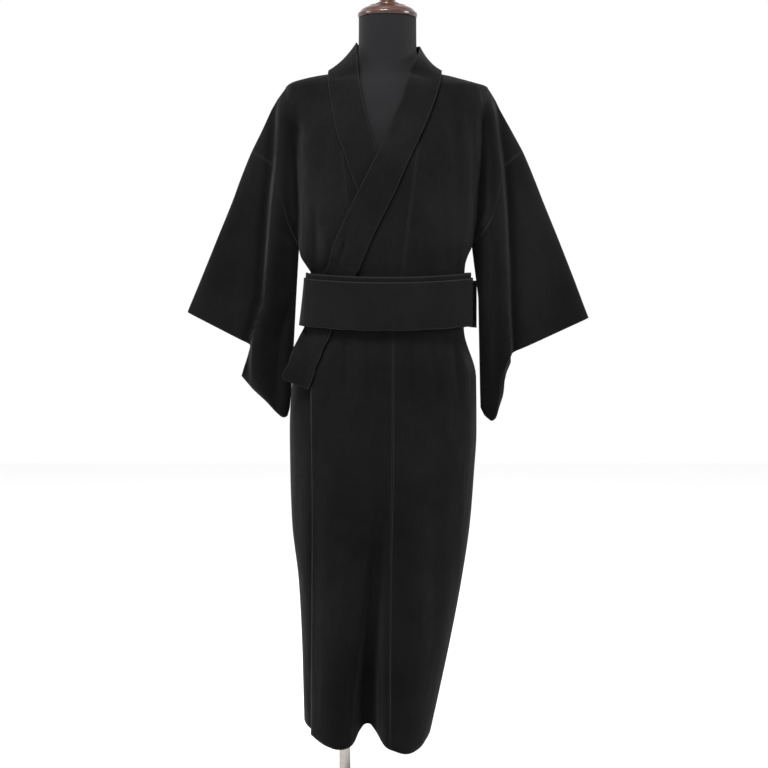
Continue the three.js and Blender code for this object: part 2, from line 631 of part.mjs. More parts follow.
function sleeve(side) {
  const sign = side === 'right' ? -1 : 1;
  const downs = seamShares.map((share) => 1 - share).reverse();
  const point = (along, down, isFront) => {
    const [out, z] = sleevePlace(side, along, down);
    const facing = isFront ? -1 : 1;
    if (down === 0) return new THREE.Vector3(sign * out, 0, z);
    const own = hangingDepth(sign * out, z, isFront) * rounded((1 - down) / 0.3);
    const worn = depth(sign * out, z, isFront);
    const y = Math.max(mix(worn, own, smooth(0, 0.3, along)), down === 1 ? 0 : SLEEVE_LEAST_DEPTH);
    return new THREE.Vector3(sign * out, facing * y, z);
  };
  const rows = steps(SLEEVE_STATIONS).map((along) => [
    ...downs.map((down) => point(along, down, true)),
    ...downs.slice(1, -1).reverse().map((down) => point(along, down, false)),
  ]);
  rows[0] = rows[0].map((p, i) => {
    const toUnderarm = Math.pow(1 - Math.abs(1 - i / SEAM_ROWS), 4);
    return p.clone().lerp(rows[1][i], (SLEEVE_GAP * (1 + 1.5 * toUnderarm)) / p.distanceTo(rows[1][i]));
  });
  return wall(rows, WALL, true);
}

// ---- Collar and obi -----------------------------------------------------------------------------

const COLLAR_STEPS = 3;          // rows between two stations
const COLLAR_COLUMNS = 3;

// On the skirt the collar's end stands away from the side as a flat board; under the obi it bends
// round the waist with the cloth below it.
function collarPoint(x, z, lift) {
  const { middle, half } = section(z);
  const reach = half * mix(0.8, 0.97, smooth(860, 920, z));
  const held = middle + Math.max(-reach, Math.min(reach, x - middle));
  const point = onRobe(held, z, true, lift);
  point.x += x - held;
  return point;
}

// One edge of the collar as a curve through its stations, lying flat in the front view or worn.
function collarEdge(edge, isWorn) {
  return new THREE.CatmullRomCurve3(COLLAR.map((row) => {
    const [x, y, z] = [row[`${edge}x`], row[`${edge}y`], row[`${edge}z`]];
    if (y !== undefined) return new THREE.Vector3(x, y, z);
    return isWorn ? collarPoint(x, z, row.lift) : new THREE.Vector3(x, 0, z);
  }), false, 'centripetal');
}

function collar() {
  const [flatOuter, flatInner] = [collarEdge('o', false), collarEdge('i', false)];
  const [wornOuter, wornInner] = [collarEdge('o', true), collarEdge('i', true)];
  const spans = COLLAR.length - 1;
  const rows = steps(spans * COLLAR_STEPS).map((t) => {
    const station = t * spans;
    const row = Math.min(spans - 1, Math.floor(station + 1e-6));
    const [from, to] = [COLLAR[row].lift, COLLAR[row + 1].lift];
    const isFlat = from !== undefined && to !== undefined;
    return steps(COLLAR_COLUMNS).map((w) => {
      if (!isFlat) return wornOuter.getPoint(t).lerp(wornInner.getPoint(t), w);
      const place = flatOuter.getPoint(t).lerp(flatInner.getPoint(t), w);
      return collarPoint(place.x, place.z, mix(from, to, station - row));
    });
  });
  return wall(rows, COLLAR_WALL);
}

const OBI_SIDES = 40;

// The obi is pulled tight: over the crossed fronts it stands out by the layers below it, and over
// the back it lies close to the body panels.
function obiLift(angle, rise, { front, back }) {
  const overFront = smooth(-2.6, -1.9, angle) * (1 - smooth(1.1, 1.9, angle));
  const hug = angle < 0 ? OBI_HUG * Math.pow(Math.sin(angle), 16) * rise : 0;
  return mix(back, front, overFront) - hug;
}

function obiTurn(bottom, lift) {
  const rows = [0, 1].map((rise) => steps(OBI_SIDES).slice(0, -1).map((t) => {
    const angle = mix(-Math.PI, Math.PI, t);
    const side = Math.sin(angle) * Math.sin(angle);
    const z = bottom + OBI_SMILE * side + rise * OBI_WIDTH;
    const point = onRing(angle, Math.min(z, OBI_BOTTOM + OBI_WIDTH), obiLift(angle, rise, lift));
    point.z = z;
    return point;
  }));
  return wall(rows, OBI_WALL, true);
}

// The strip's free end, laid round the waist from the knot to the wearer's left side.
function knotTail() {
  const rows = [0, 1].map((rise) => steps(10).map((t) => {
    const angle = mix(TAIL.fromAngle, TAIL.toAngle, t);
    const point = onRing(angle, OBI_MIDDLE, mix(TAIL.fromLift, TAIL.toLift, t));
    point.z = OBI_BOTTOM + TAIL.rise + rise * OBI_WIDTH;
    return point;
  }));
  return wall(rows, OBI_WALL);
}

// The flat knot at the back: the strip is folded over itself and stands on its edge.
function knotLoop() {
  const { back } = section(OBI_MIDDLE);
  // [across, out from the back of the robe]
  const outline = [
    [-46, 14], [-20, 17], [10, 17], [40, 14], [46, 18], [40, 24], [10, 28], [-20, 28], [-46, 24], [-52, 19],
  ];
  const rows = steps(2).map((rise) => outline.map(([x, out]) => new THREE.Vector3(
    x + KNOT.lean * (rise - 0.5),
    back + out,
    KNOT.bottom + rise * KNOT.height,
  )));
  return wall(rows, OBI_WALL, true);
}

// ---- Dress form and stand -----------------------------------------------------------------------

const formRing = ({ z, half, front, back }) => steps(FORM_RING).slice(0, -1).map((t) => {
  const angle = t * 2 * Math.PI;
  const squareness = mix(SQUARENESS, 2, smooth(1380, 1430, z));
  const [s, c] = [Math.sin(angle), -Math.cos(angle)];
  return new THREE.Vector3(
    half * Math.sign(s) * Math.pow(Math.abs(s), 2 / squareness),
    (c < 0 ? front : back) * Math.sign(c) * Math.pow(Math.abs(c), 2 / squareness),
    z,
  );
});

// Extra sections between the table's rows keep the form smooth.
function formTorso() {
  const heights = FORM.flatMap((row, i) => {
    if (i === FORM.length - 1) return [row.z];
    const count = Math.max(1, Math.round((FORM[i + 1].z - row.z) / 40));
    return steps(count).slice(0, -1).map((t) => mix(row.z, FORM[i + 1].z, t));
  });
  return loft(heights.map((z) => formRing({
    z,
    half: read(FORM, 'half', z),
    front: read(FORM, 'front', z),
    back: read(FORM, 'back', z),
  })));
}

const GAP = 0.3;

const neckCap = () => turned([
  [0, NECK_TOP + GAP], [56, NECK_TOP + GAP], [57.5, NECK_TOP + 2], [57.5, NECK_TOP + 9],
  [55, NECK_TOP + 12], [46, NECK_TOP + 18], [35, NECK_TOP + CAP_HEIGHT], [0, NECK_TOP + CAP_HEIGHT],
]);

const KNOB_FOOT = NECK_TOP + CAP_HEIGHT;

const capFinial = () => turned([
  [0, KNOB_FOOT + GAP], [24, KNOB_FOOT + GAP], [24, KNOB_FOOT + 4], [15, KNOB_FOOT + 7],
  [14, KNOB_FOOT + 21], [20, KNOB_FOOT + 27], [26, KNOB_FOOT + 37], [27, KNOB_FOOT + 47],
  [22, KNOB_FOOT + 57], [12, KNOB_FOOT + 63], [0, KNOB_FOOT + 65],
], 28);

const POLE_TOP = FORM_BOTTOM - POLE_COLLAR_HEIGHT;

const poleCollar = () => turned([
  [0, POLE_TOP], [22, POLE_TOP], [24, POLE_TOP + 2], [24, FORM_BOTTOM - 8],
  [36, FORM_BOTTOM - 5], [36, FORM_BOTTOM - GAP], [0, FORM_BOTTOM - GAP],
], 32);

const pole = () => turned([
  [0, BASE_HEIGHT + GAP], [POLE_RADIUS, BASE_HEIGHT + GAP],
  [POLE_RADIUS, POLE_TOP - GAP], [0, POLE_TOP - GAP],
], 28);

const basePlate = () => turned([
  [0, 0], [BASE_RADIUS, 0], [BASE_RADIUS, 5], [BASE_RADIUS - 6, 8],
  [BASE_RADIUS - 20, BASE_HEIGHT], [0, BASE_HEIGHT],
], 64);

// ---- Assembly -----------------------------------------------------------------------------------

const group = new THREE.Group();

function add(name, geometry, material, x = 0) {
  const mesh = new THREE.Mesh(geometry, material);
  mesh.name = name;
  mesh.position.x = x;
  group.add(mesh);
}

add('base_plate', basePlate(), CHROME);
add('pole', pole(), CHROME, POLE_X);
add('pole_collar', poleCollar(), CHROME, POLE_X);
add('form_torso', formTorso(), JERSEY);
add('neck_cap', neckCap(), TURNED_WOOD);
add('cap_finial', capFinial(), TURNED_WOOD);

add('body_right', bodyPanel('right'), COTTON);
add('body_left', bodyPanel('left'), COTTON);
add('okumi_right', overlapPanel('right', 5), COTTON);
add('okumi_left', overlapPanel('left', 7), COTTON);
add('collar', collar(), COTTON);
add('sleeve_right', sleeve('right'), COTTON);
add('sleeve_left', sleeve('left'), COTTON);

add('obi_inner_wrap', obiTurn(OBI_BOTTOM + OBI_STEP, OBI_INNER_LIFT), OBI_CLOTH);
add('obi_outer_wrap', obiTurn(OBI_BOTTOM, OBI_OUTER_LIFT), OBI_CLOTH);
add('obi_knot', knotLoop(), OBI_CLOTH);
add('obi_knot_tail', knotTail(), OBI_CLOTH);

export default group;
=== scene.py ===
import math
from collections import namedtuple

import bmesh
import bpy
import numpy as np
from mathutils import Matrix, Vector


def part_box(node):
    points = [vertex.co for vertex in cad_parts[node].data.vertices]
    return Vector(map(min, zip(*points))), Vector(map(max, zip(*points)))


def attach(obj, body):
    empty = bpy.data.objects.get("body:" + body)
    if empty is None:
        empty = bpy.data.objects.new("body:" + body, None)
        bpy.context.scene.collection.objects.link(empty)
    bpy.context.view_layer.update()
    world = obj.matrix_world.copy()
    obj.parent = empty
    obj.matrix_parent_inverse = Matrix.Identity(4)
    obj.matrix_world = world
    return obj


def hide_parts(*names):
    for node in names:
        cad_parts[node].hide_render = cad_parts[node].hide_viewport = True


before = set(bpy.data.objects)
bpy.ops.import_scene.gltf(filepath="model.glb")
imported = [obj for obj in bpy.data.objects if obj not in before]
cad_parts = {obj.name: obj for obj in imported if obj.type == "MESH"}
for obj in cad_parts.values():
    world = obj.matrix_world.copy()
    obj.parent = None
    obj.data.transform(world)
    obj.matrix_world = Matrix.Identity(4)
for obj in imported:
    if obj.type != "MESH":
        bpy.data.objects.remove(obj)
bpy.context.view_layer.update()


# ---- Camera, floor and light ----------------
# The robe is seen from the front at chest height, close enough that the base is below the view.
# A plain pale floor runs into a pale room, lit by a wide soft lamp above and two weak ones beside.

VIEW_FROM = Vector((-0.0068, -3.6, 1.0))
VIEW_TO = Vector((-0.0068, 0.0, 0.816))


def aimed(thing, place, target):
    """An object for a camera or lamp at a place, turned to look at the target."""
    made = bpy.data.objects.new(thing.name, thing)
    made.location = place
    made.rotation_euler = (Vector(target) - Vector(place)).to_track_quat("-Z", "Y").to_euler()
    bpy.context.collection.objects.link(made)
    return made


def soft_lamp(name, place, target, side, power):
    lamp = bpy.data.lights.new(name, "AREA")
    lamp.size = side
    lamp.energy = power
    return aimed(lamp, place, target)


lens = bpy.data.cameras.new("camera")
lens.lens = 86.65
bpy.context.scene.camera = aimed(lens, VIEW_FROM, VIEW_TO)

soft_lamp("lamp_above", (-0.5, -1.6, 3.4), (0, 0, 1.1), 1.0, 150)
soft_lamp("lamp_left", (-3.0, -0.5, 2.2), (0, 0, 0.9), 1.0, 35)
soft_lamp("lamp_right", (3.0, -0.6, 2.0), (0, 0, 0.9), 1.0, 70)
bpy.context.scene.view_settings.view_transform = "Standard"

world = bpy.data.worlds.new("pale_room")
world.use_nodes = True
room_light = world.node_tree.nodes["Background"]
room_light.inputs["Color"].default_value = (1, 1, 1, 1)
room_light.inputs["Strength"].default_value = 1.0
bpy.context.scene.world = world

FLOOR_SIDE = 14.0
floor_mesh = bpy.data.meshes.new("floor")
shaping = bmesh.new()
bmesh.ops.create_grid(shaping, x_segments=1, y_segments=1, size=FLOOR_SIDE / 2)
shaping.to_mesh(floor_mesh)
shaping.free()
floor = bpy.data.objects.new("floor", floor_mesh)
bpy.context.collection.objects.link(floor)
floor_paint = bpy.data.materials.new("floor_paint")
floor_paint.use_nodes = True
paint = floor_paint.node_tree.nodes["Principled BSDF"]
paint.inputs["Base Color"].default_value = (0.9, 0.9, 0.9, 1)
paint.inputs["Roughness"].default_value = 0.9
floor_mesh.materials.append(floor_paint)


# ---- Base plate, pole and pole collar ----------------
# A heavy round steel plate, a straight tube that stands off its middle, and the stepped collar
# that clamps the tube under the form. All three are turned and chrome plated.

MM = 0.001                       # tables and sizes below are in millimetres, meshes in metres


def add_node(tree, kind, inputs=None, **settings):
    """A shader node with its settings, and its inputs set or linked."""
    made = tree.nodes.new("ShaderNode" + kind)
    for key, value in settings.items():
        setattr(made, key, value)
    for key, value in (inputs or {}).items():
        if isinstance(value, bpy.types.NodeSocket):
            tree.links.new(value, made.inputs[key])
        else:
            made.inputs[key].default_value = value
    return made


def add_noise(tree, place, stretch=None, turn=(0, 0, 0), **inputs):
    """The grey value of a noise over these coordinates, stretched and turned first where asked."""
    if stretch:
        mapped = add_node(tree, "Mapping", {"Vector": place, "Scale": stretch, "Rotation": turn})
        place = mapped.outputs["Vector"]
    return add_node(tree, "TexNoise", {"Vector": place, **inputs}).outputs["Fac"]


def add_range(tree, value, low, high):
    """A value from 0 to 1 brought into the range from low to high."""
    return add_node(tree, "MapRange", {"Value": value, "To Min": low, "To Max": high}).outputs["Result"]


def add_ramp(tree, factor, low, high, start=0.0, end=1.0):
    """A colour that goes from low to high while the factor goes from start to end."""
    made = add_node(tree, "ValToRGB", {"Fac": factor})
    for stop, position, colour in zip(made.color_ramp.elements, (start, end), (low, high)):
        stop.position = position
        stop.color = (*colour, 1)
    return made.outputs["Color"]


def new_material(name, **constants):
    """A Principled material with its constants set, and its node tree and shader."""
    made = bpy.data.materials.new(name)
    made.use_nodes = True
    shader = made.node_tree.nodes["Principled BSDF"]
    for key, value in constants.items():
        shader.inputs[key.replace("_", " ")].default_value = value
    return made, made.node_tree, shader


def finished(name, shaping, material, replaced=None):
    """Makes a smooth-shaded piece of a bmesh, in place of its CAD node."""
    for face in shaping.faces:
        face.smooth = True
    mesh = bpy.data.meshes.new(name)
    shaping.to_mesh(mesh)
    shaping.free()
    mesh.materials.append(material)
    piece = bpy.data.objects.new(name, mesh)
    bpy.context.collection.objects.link(piece)
    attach(piece, "root")
    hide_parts(replaced or name)
    return piece


def turned(name, profile, centre, material, replaced, steps=96, edge=1.0):
    """A solid turned round an upright axis, from (radius, height) in millimetres."""
    shaping = bmesh.new()
    points = [shaping.verts.new((radius * MM, 0, height * MM)) for radius, height in profile]
    for a, b in zip(points, points[1:]):
        shaping.edges.new((a, b))
    bmesh.ops.spin(shaping, geom=shaping.verts[:] + shaping.edges[:], cent=(0, 0, 0),
                   axis=(0, 0, 1), angle=2 * math.pi, steps=steps, use_merge=True)
    bmesh.ops.remove_doubles(shaping, verts=shaping.verts, dist=1e-6)
    bmesh.ops.recalc_face_normals(shaping, faces=shaping.faces)
    bmesh.ops.translate(shaping, vec=centre, verts=shaping.verts)
    piece = finished(name, shaping, material, replaced)
    if edge:
        bevel = piece.modifiers.new("edge", "BEVEL")
        bevel.width = edge * MM
        bevel.segments = 3
        bevel.angle_limit = math.radians(28)
        bevel.harden_normals = True
    return piece


chrome, tree, shader = new_material("chrome_plate", Metallic=1.0)
place = add_node(tree, "TexCoord").outputs["Object"]
film = add_noise(tree, place, stretch=(6, 6, 90), Scale=2.2, Detail=5.0)
tree.links.new(add_range(tree, film, 0.16, 0.34), shader.inputs["Roughness"])
steel = add_ramp(tree, film, (0.19, 0.18, 0.165), (0.36, 0.345, 0.32))
tree.links.new(steel, shader.inputs["Base Color"])

base_low, base_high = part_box("base_plate")
pole_low, pole_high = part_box("pole")
clamp_low, clamp_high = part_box("pole_collar")
base_radius = (base_high[0] - base_low[0]) / 2 / MM
base_height = base_high[2] / MM
pole_radius = (pole_high[0] - pole_low[0]) / 2 / MM
pole_x = (pole_high[0] + pole_low[0]) / 2
clamp_radius = (clamp_high[0] - clamp_low[0]) / 2 / MM
clamp_bottom, clamp_top = clamp_low[2] / MM, clamp_high[2] / MM

turned("base", [(0, 0), (base_radius - 1, 0), (base_radius, 1), (base_radius, base_height - 4),
                (base_radius - 5, base_height - 1), (base_radius - 14, base_height), (0, base_height)],
       ((base_low[0] + base_high[0]) / 2, 0, 0), chrome, "base_plate", steps=160, edge=0.8)
turned("stand_pole", [(0, pole_low[2] / MM), (pole_radius, pole_low[2] / MM),
                      (pole_radius, pole_high[2] / MM), (0, pole_high[2] / MM)],
       (pole_x, 0, 0), chrome, "pole", steps=64, edge=0.5)
turned("pole_clamp", [(0, clamp_bottom), (22, clamp_bottom), (24, clamp_bottom + 2), (24, clamp_top - 8),
                      (clamp_radius - 1, clamp_top - 5), (clamp_radius, clamp_top - 4),
                      (clamp_radius, clamp_top), (0, clamp_top)],
       ((clamp_low[0] + clamp_high[0]) / 2, 0, 0), chrome, "pole_collar", steps=80, edge=0.6)


# ---- Neck cap and knob ----------------
# A turned cap of dark hardwood closes the form's neck: a flat rim, a dome, a thin stem and a ball
# knob, cut on a lathe in two pieces and finished with several coats of gloss varnish.

varnished, tree, shader = new_material("varnished_wood", Coat_Weight=0.55, Coat_Roughness=0.08,
                                       Specular_IOR_Level=0.2)
place = add_node(tree, "TexCoord").outputs["Object"]
grain = add_noise(tree, place, stretch=(1.0, 7.0, 5.0), turn=(0, 0.12, 0.3), Scale=16.0, Detail=8.0,
                  Roughness=0.62, Distortion=0.6)
wood = add_ramp(tree, grain, (0.009, 0.0035, 0.002), (0.055, 0.019, 0.010), 0.32, 0.7)
tree.links.new(wood, shader.inputs["Base Color"])
tree.links.new(add_range(tree, grain, 0.22, 0.4), shader.inputs["Roughness"])

# Rows of the lathe profiles: (inside the rim, above the underside), (radius, above the underside)
# and (radius, below the top).
CAP_RIM = ((2, 0), (0.5, 1), (0, 3), (0, 6.5), (1, 8.5), (4, 9.4), (4.6, 10.6), (6, 13.4), (10, 16.6),
           (15, 19), (20, 20.6), (21.4, 21.4))
KNOB_STEM = ((23, 0), (24, 1.4), (23.4, 3.4), (20, 5), (16, 7), (14.4, 11), (14, 16), (14.6, 20),
             (17.6, 24), (20.4, 27), (24.2, 32.6), (26.4, 39))
KNOB_CROWN = ((27, 19.6), (25.6, 13), (22, 8), (17.6, 4.4), (12, 1.9), (6, 0.5))

cap_low, cap_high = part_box("neck_cap")
knob_low, knob_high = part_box("cap_finial")
cap_radius = (cap_high[0] - cap_low[0]) / 2 / MM
cap_bottom, cap_top = cap_low[2] / MM, cap_high[2] / MM
knob_bottom, knob_top = knob_low[2] / MM, knob_high[2] / MM
rim = [(cap_radius - inside, cap_bottom + above) for inside, above in CAP_RIM]
stem = [(radius, knob_bottom + above) for radius, above in KNOB_STEM]
crown = [(radius, knob_top - below) for radius, below in KNOB_CROWN]
turned("turned_cap", [(0, cap_bottom), *rim, (cap_radius - 22, cap_top), (0, cap_top)],
       (0, 0, 0), varnished, "neck_cap", edge=0)
turned("knob", [(0, knob_bottom), *stem, *crown, (0, knob_top)],
       (0, 0, 0), varnished, "cap_finial", edge=0)


# ---- Dress form ----------------
# A hard foam torso with a straight neck and no limbs, covered with black jersey that is pulled
# tight from below. Only the neck and the upper chest show inside the crossed collar.

SQUARENESS = 2.3                 # exponent of the sections: 2 is an ellipse

FORM = {
    "z": (690, 780, 860, 975, 1085, 1200, 1300, 1352, 1374, 1385, 1393, 1400, 1407, 1417, 1436, 1465,
          1524),
    "half": (136, 156, 150, 137, 150, 165, 174, 174, 168, 154, 134, 112, 92, 74, 61, 56, 55.5),
    "front": (86, 98, 98, 102, 114, 120, 108, 90, 80, 74, 70, 66, 63, 60, 57, 55.6, 55.5),
    "back": (94, 106, 102, 92, 98, 106, 104, 94, 86, 80, 75, 70, 66, 61, 58, 56, 55.5),
}


def mix(a, b, t):
    return a + (b - a) * t


def smooth(start, end, value):
    t = np.clip((value - start) / (end - start), 0, 1)
    return t * t * (3 - 2 * t)


def bump(value, width, power=2):
    """1 at zero, falling to nothing over the width."""
    return np.exp(-np.abs(value / width) ** power)


def read(table, name, at, key="z"):
    """One column of a table at these heights (or another key), by a cubic that never overshoots."""
    knots = np.array(table[key], float)
    values = np.array(table[name], float)
    slope = np.diff(values) / np.diff(knots)
    before, after = slope[:-1], slope[1:]
    same = before * after > 0
    inner = np.zeros(len(before))
    inner[same] = 2 * before[same] * after[same] / (before + after)[same]
    tangent = np.concatenate([slope[:1], inner, slope[-1:]])
    at = np.clip(at, knots[0], knots[-1])
    i = np.clip(np.searchsorted(knots, at, side="right") - 1, 0, len(slope) - 1)
    span = knots[i + 1] - knots[i]
    t = (at - knots[i]) / span
    curve = mix(values[i], values[i + 1], t * t * (3 - 2 * t))
    return curve + span * t * (1 - t) * ((1 - t) * tangent[i] - t * tangent[i + 1])


def grid_mesh(points, cut=None, is_ring=False):
    """A bmesh grid through an array of points (rows, columns, xyz), with the cut size as UV map.

    Each vertex also holds its distance from the nearest edge of the cut, in metres.
    """
    rows, columns = points.shape[:2]
    shaping = bmesh.new()
    edge_layer = shaping.verts.layers.float.new("edge_distance")
    bmesh.ops.create_grid(shaping, x_segments=columns - 1, y_segments=rows - 1, size=0.5)
    share = {vert: (vert.co.x + 0.5, vert.co.y + 0.5) for vert in shaping.verts}
    if cut:
        layer = shaping.loops.layers.uv.new("cut")
        for face in shaping.faces:
            for loop in face.loops:
                u, v = share[loop.vert]
                loop[layer].uv = (u * cut[0], v * cut[1])
        row_run = np.linalg.norm(np.diff(points, axis=0), axis=-1) * MM
        column_run = np.linalg.norm(np.diff(points, axis=1), axis=-1) * MM
        down = np.concatenate([np.zeros((1, columns)), np.cumsum(row_run, axis=0)])
        across = np.concatenate([np.zeros((rows, 1)), np.cumsum(column_run, axis=1)], axis=1)
        edge_distance = np.minimum(down, down[-1:] - down)
        if not is_ring:
            sideways = np.minimum(across, across[:, -1:] - across)
            edge_distance = np.minimum(edge_distance, sideways)
        for vert, (u, v) in share.items():
            vert[edge_layer] = edge_distance[round(v * (rows - 1)), round(u * (columns - 1))]
    for vert, (u, v) in share.items():
        vert.co = Vector(points[round(v * (rows - 1)), round(u * (columns - 1))]) * MM
    if is_ring:
        bmesh.ops.remove_doubles(shaping, verts=shaping.verts, dist=2e-6)
    return shaping


CHEST = 1340                     # the rows are closer together from here up to the neck
heights = np.unique(np.concatenate([np.linspace(FORM["z"][0], CHEST, 90),
                                    np.linspace(CHEST, FORM["z"][-1], 90)]))
level, turn = np.meshgrid(heights, np.linspace(0, 2 * math.pi, 121), indexing="ij")
square = mix(SQUARENESS, 2, smooth(1380, 1430, level))
sine, cosine = np.sin(turn), -np.cos(turn)
to_face = np.where(cosine < 0, read(FORM, "front", level), read(FORM, "back", level))
form_points = np.stack([
    read(FORM, "half", level) * np.sign(sine) * np.abs(sine) ** (2 / square),
    to_face * np.sign(cosine) * np.abs(cosine) ** (2 / square),
    level], axis=-1)
shaping = grid_mesh(form_points, is_ring=True)
bmesh.ops.holes_fill(shaping, edges=[edge for edge in shaping.edges if edge.is_boundary], sides=0)
bmesh.ops.recalc_face_normals(shaping, faces=shaping.faces)

jersey, tree, shader = new_material("black_jersey", Sheen_Weight=0.05, Sheen_Roughness=0.5,
                                    Specular_IOR_Level=0.05)
place = add_node(tree, "TexCoord").outputs["Object"]
knit = add_noise(tree, place, Scale=900.0, Detail=2.0)
relief = add_node(tree, "Bump", {"Height": knit, "Strength": 0.35, "Distance": 0.0006})
tree.links.new(relief.outputs["Normal"], shader.inputs["Normal"])
cloudy = add_noise(tree, place, Scale=7.0, Detail=3.0)
shade = add_ramp(tree, cloudy, (0.0055, 0.0055, 0.0062), (0.0095, 0.0095, 0.0102))
tree.links.new(shade, shader.inputs["Base Color"])
tree.links.new(add_range(tree, knit, 0.7, 0.85), shader.inputs["Roughness"])
finished("form", shaping, jersey, "form_torso")


# ---- Body panels ----------------
# Two straight widths of black cotton, each from the front hem over the shoulder to the back hem and
# sewn together down the middle of the back. Worn, they are drawn in by the obi and hang below it.

CLOTH = 1.2                      # thickness of one layer
SEAM = 0.06                      # half the width of the groove at a seam
WAIST = 1035                     # height where a skirt row passes into the bodice
UNDERARM = 1085                  # lower end of the seam between sleeve and body
BODY_CUT = (0.30, 2.75)
BACK_HEM = 128                   # height of the back hem in its middle
BACK_HEM_RISE = 26               # and how much higher it is at the sides
BACK_NECK = 1412                 # height of the back neck seam

PLEAT_DEPTH = 62
PLEAT_MIDDLE = (-12, -40)        # sideways place of the pleat, shut and open
PLEAT_WIDTH = (16, 34)           # half its width, shut and open
WAVE_DEPTH = 5                   # of the broad folds of the skirt
FRONT_WAVE, BACK_WAVE = (30, 19), (-45, 24)     # (place of a crest, spread)
CREASE_FACTOR = 1.5              # the creases below are this much deeper than their rows say

HANGING_DEPTH = 12               # half the depth of the cloth near the fold over the arm
HANGING_REACH = 130              # the cloth spreads no further than this far inside the fold
RIDGE_HEIGHT = 27
INNER_TROUGH, OUTER_TROUGH = 10, 9
ARMPIT_DEPTH = 16
OVER_FRONT_LIFT = 8              # how far the upper front lies outside the robe's sections
UNDER_FRONT_SINK = 9             # how far the under front lies inside them at the hem

# Sections of the worn robe: from the middle to each side, to the front and to the back.
BODY = {
    "z": (128, 200, 313, 431, 549, 640, 726, 830, 925, 1030, 1046, 1064, 1085, 1200, 1300, 1362, 1389,
          1397, 1404, 1410, 1414, 1420),
    "right": (162, 164, 167, 173, 186, 189, 190, 184, 150, 148, 157, 168, 172, 177, 188, 195, 196,
              187, 165, 138, 112, 84),
    "left": (82, 98, 122, 144, 161, 168, 173, 172, 148, 149, 150, 155, 164, 177, 187, 193, 193,
             170, 145, 123, 104, 82),
    "front": (118, 121, 124, 127, 129, 130, 131, 129, 121, 119, 123, 127, 130, 132, 122, 102, 88,
              79, 69, 57, 47, 35),
    "back": (92, 96, 104, 112, 119, 124, 126, 124, 110, 104, 106, 108, 110, 117, 116, 105, 94,
             85, 79, 74, 70, 66),
}

# Outer fold of the robe, seen from the front: over the shoulder and down the top of each sleeve.
FOLD = {
    "z": (700, 960, 1019, 1096, 1174, 1212, 1268, 1308, 1347, 1366, 1389, 1397, 1404, 1410, 1414, 1420),
    "right": (488, 387, 362.5, 331, 299, 285, 262, 242, 224, 213, 196, 187, 165, 138, 112, 84),
    "left": (488, 385, 362.5, 332, 300, 285, 261, 239, 217, 208, 193, 170, 145, 123, 104, 82),
}

# Seam between body and sleeve, seen from the front.
SLEEVE_SEAM = {
    "z": (1085, 1120, 1155, 1180, 1215, 1236, 1252, 1268),
    "right": (172, 188, 199, 208, 214, 219, 238, 262),
    "left": (164, 190, 206, 213, 219, 224, 241, 261),
}

# Standing fold down the front and the back of each sleeve, out from the middle.
SLEEVE_RIDGE = {
    "z": (745, 895, 984, 1068, 1153, 1233, 1295, 1363, 1389),
    "right": (262, 256, 232, 226, 220, 211, 207, 203, 190),
    "left": (240, 232, 227, 224, 220, 214, 206, 197, 187),
}

# The dark fold where the chest passes into the cloth that hangs from the shoulder.
ARMPIT_FOLD = {
    "z": (1041, 1085, 1153, 1233, 1324),
    "right": (152, 163, 170, 176, 171),
    "left": (136, 152, 186, 188, 184),
}

# Seam between each body panel and its overlap panel, and the overlap's free or collar edge.
FRONT_SEAMS = {
    "z": (120, 500, 800, 835, 924, 1023, 1109, 1178, 1262, 1330, 1380, 1420),
    "right_seam": (-60, -57, -56, -56, -56, -69, -74, -79, -87, -94, -100, -84),
    "right_edge": (34, 84, 97, 94, 70, 26, -18, -42, -73, -94, -100, -84),
    "left_seam": (7, 9, 10, 10, 11, 26, 36, 45, 56, 69, 86, 82),
    "left_edge": (-141, -141, -141, -142, -109, -71, -34, 0, 36, 69, 86, 82),
}

# Height of the front hem, lowest on the two lobes beside the pleat.
HEM = {
    "x": (-160, -145, -112, -92, -74, -61, -40, -18, 7, 35, 57, 72, 86),
    "z": (158, 146, 129, 125, 130, 150, 163, 152, 125, 114, 121, 134, 146),
}

# Creases pressed or pulled into the cloth, each along a line in the front view. A positive depth
# is a valley and a negative one a ridge.
Crease = namedtuple("Crease", "x z to_x to_z depth width")
FRONT_CREASES = (
    Crease(-168, 1330, -139, 1300, 3.4, 5),
    Crease(-160, 1342, -128, 1318, 2.6, 5),
    Crease(-176, 1312, -152, 1284, 2.4, 5),
    Crease(-137, 1168, -134, 1040, 5.0, 7),
    Crease(-118, 1120, -116, 1038, -3.0, 8),
    Crease(-110, 1330, -136, 1150, 3.0, 15),
    Crease(125, 1356, 129, 1080, 3.6, 12),
    Crease(155, 1337, 160, 1100, 4.2, 12),
    Crease(141, 1340, 145, 1110, -2.6, 9),
    Crease(98, 1250, 108, 1040, 2.6, 11),
    Crease(74, 1160, 80, 1042, -2.0, 9),
    Crease(133, 1080, 120, 1030, 3.0, 6),
    Crease(-70, 1110, -92, 1040, 2.0, 7),
    Crease(-150, 905, -128, 830, 3.4, 9),
    Crease(-112, 915, -101, 850, -2.0, 8),
    Crease(-76, 915, -79, 800, 2.6, 9),
    Crease(-38, 918, -35, 770, 3.0, 9),
    Crease(38, 918, 46, 740, 3.2, 10),
    Crease(80, 916, 92, 760, 3.0, 11),
    Crease(118, 912, 132, 790, 3.6, 10),
    Crease(140, 900, 158, 700, -3.0, 12),
    Crease(96, 740, 86, 330, 4.0, 24),
    Crease(132, 690, 118, 250, 4.6, 17),
    Crease(62, 600, 58, 200, -3.0, 18),
    Crease(-128, 760, -132, 190, 2.6, 12),
    Crease(-90, 690, -96, 220, 3.4, 20),
    Crease(-160, 700, -156, 230, -3.0, 12),
)
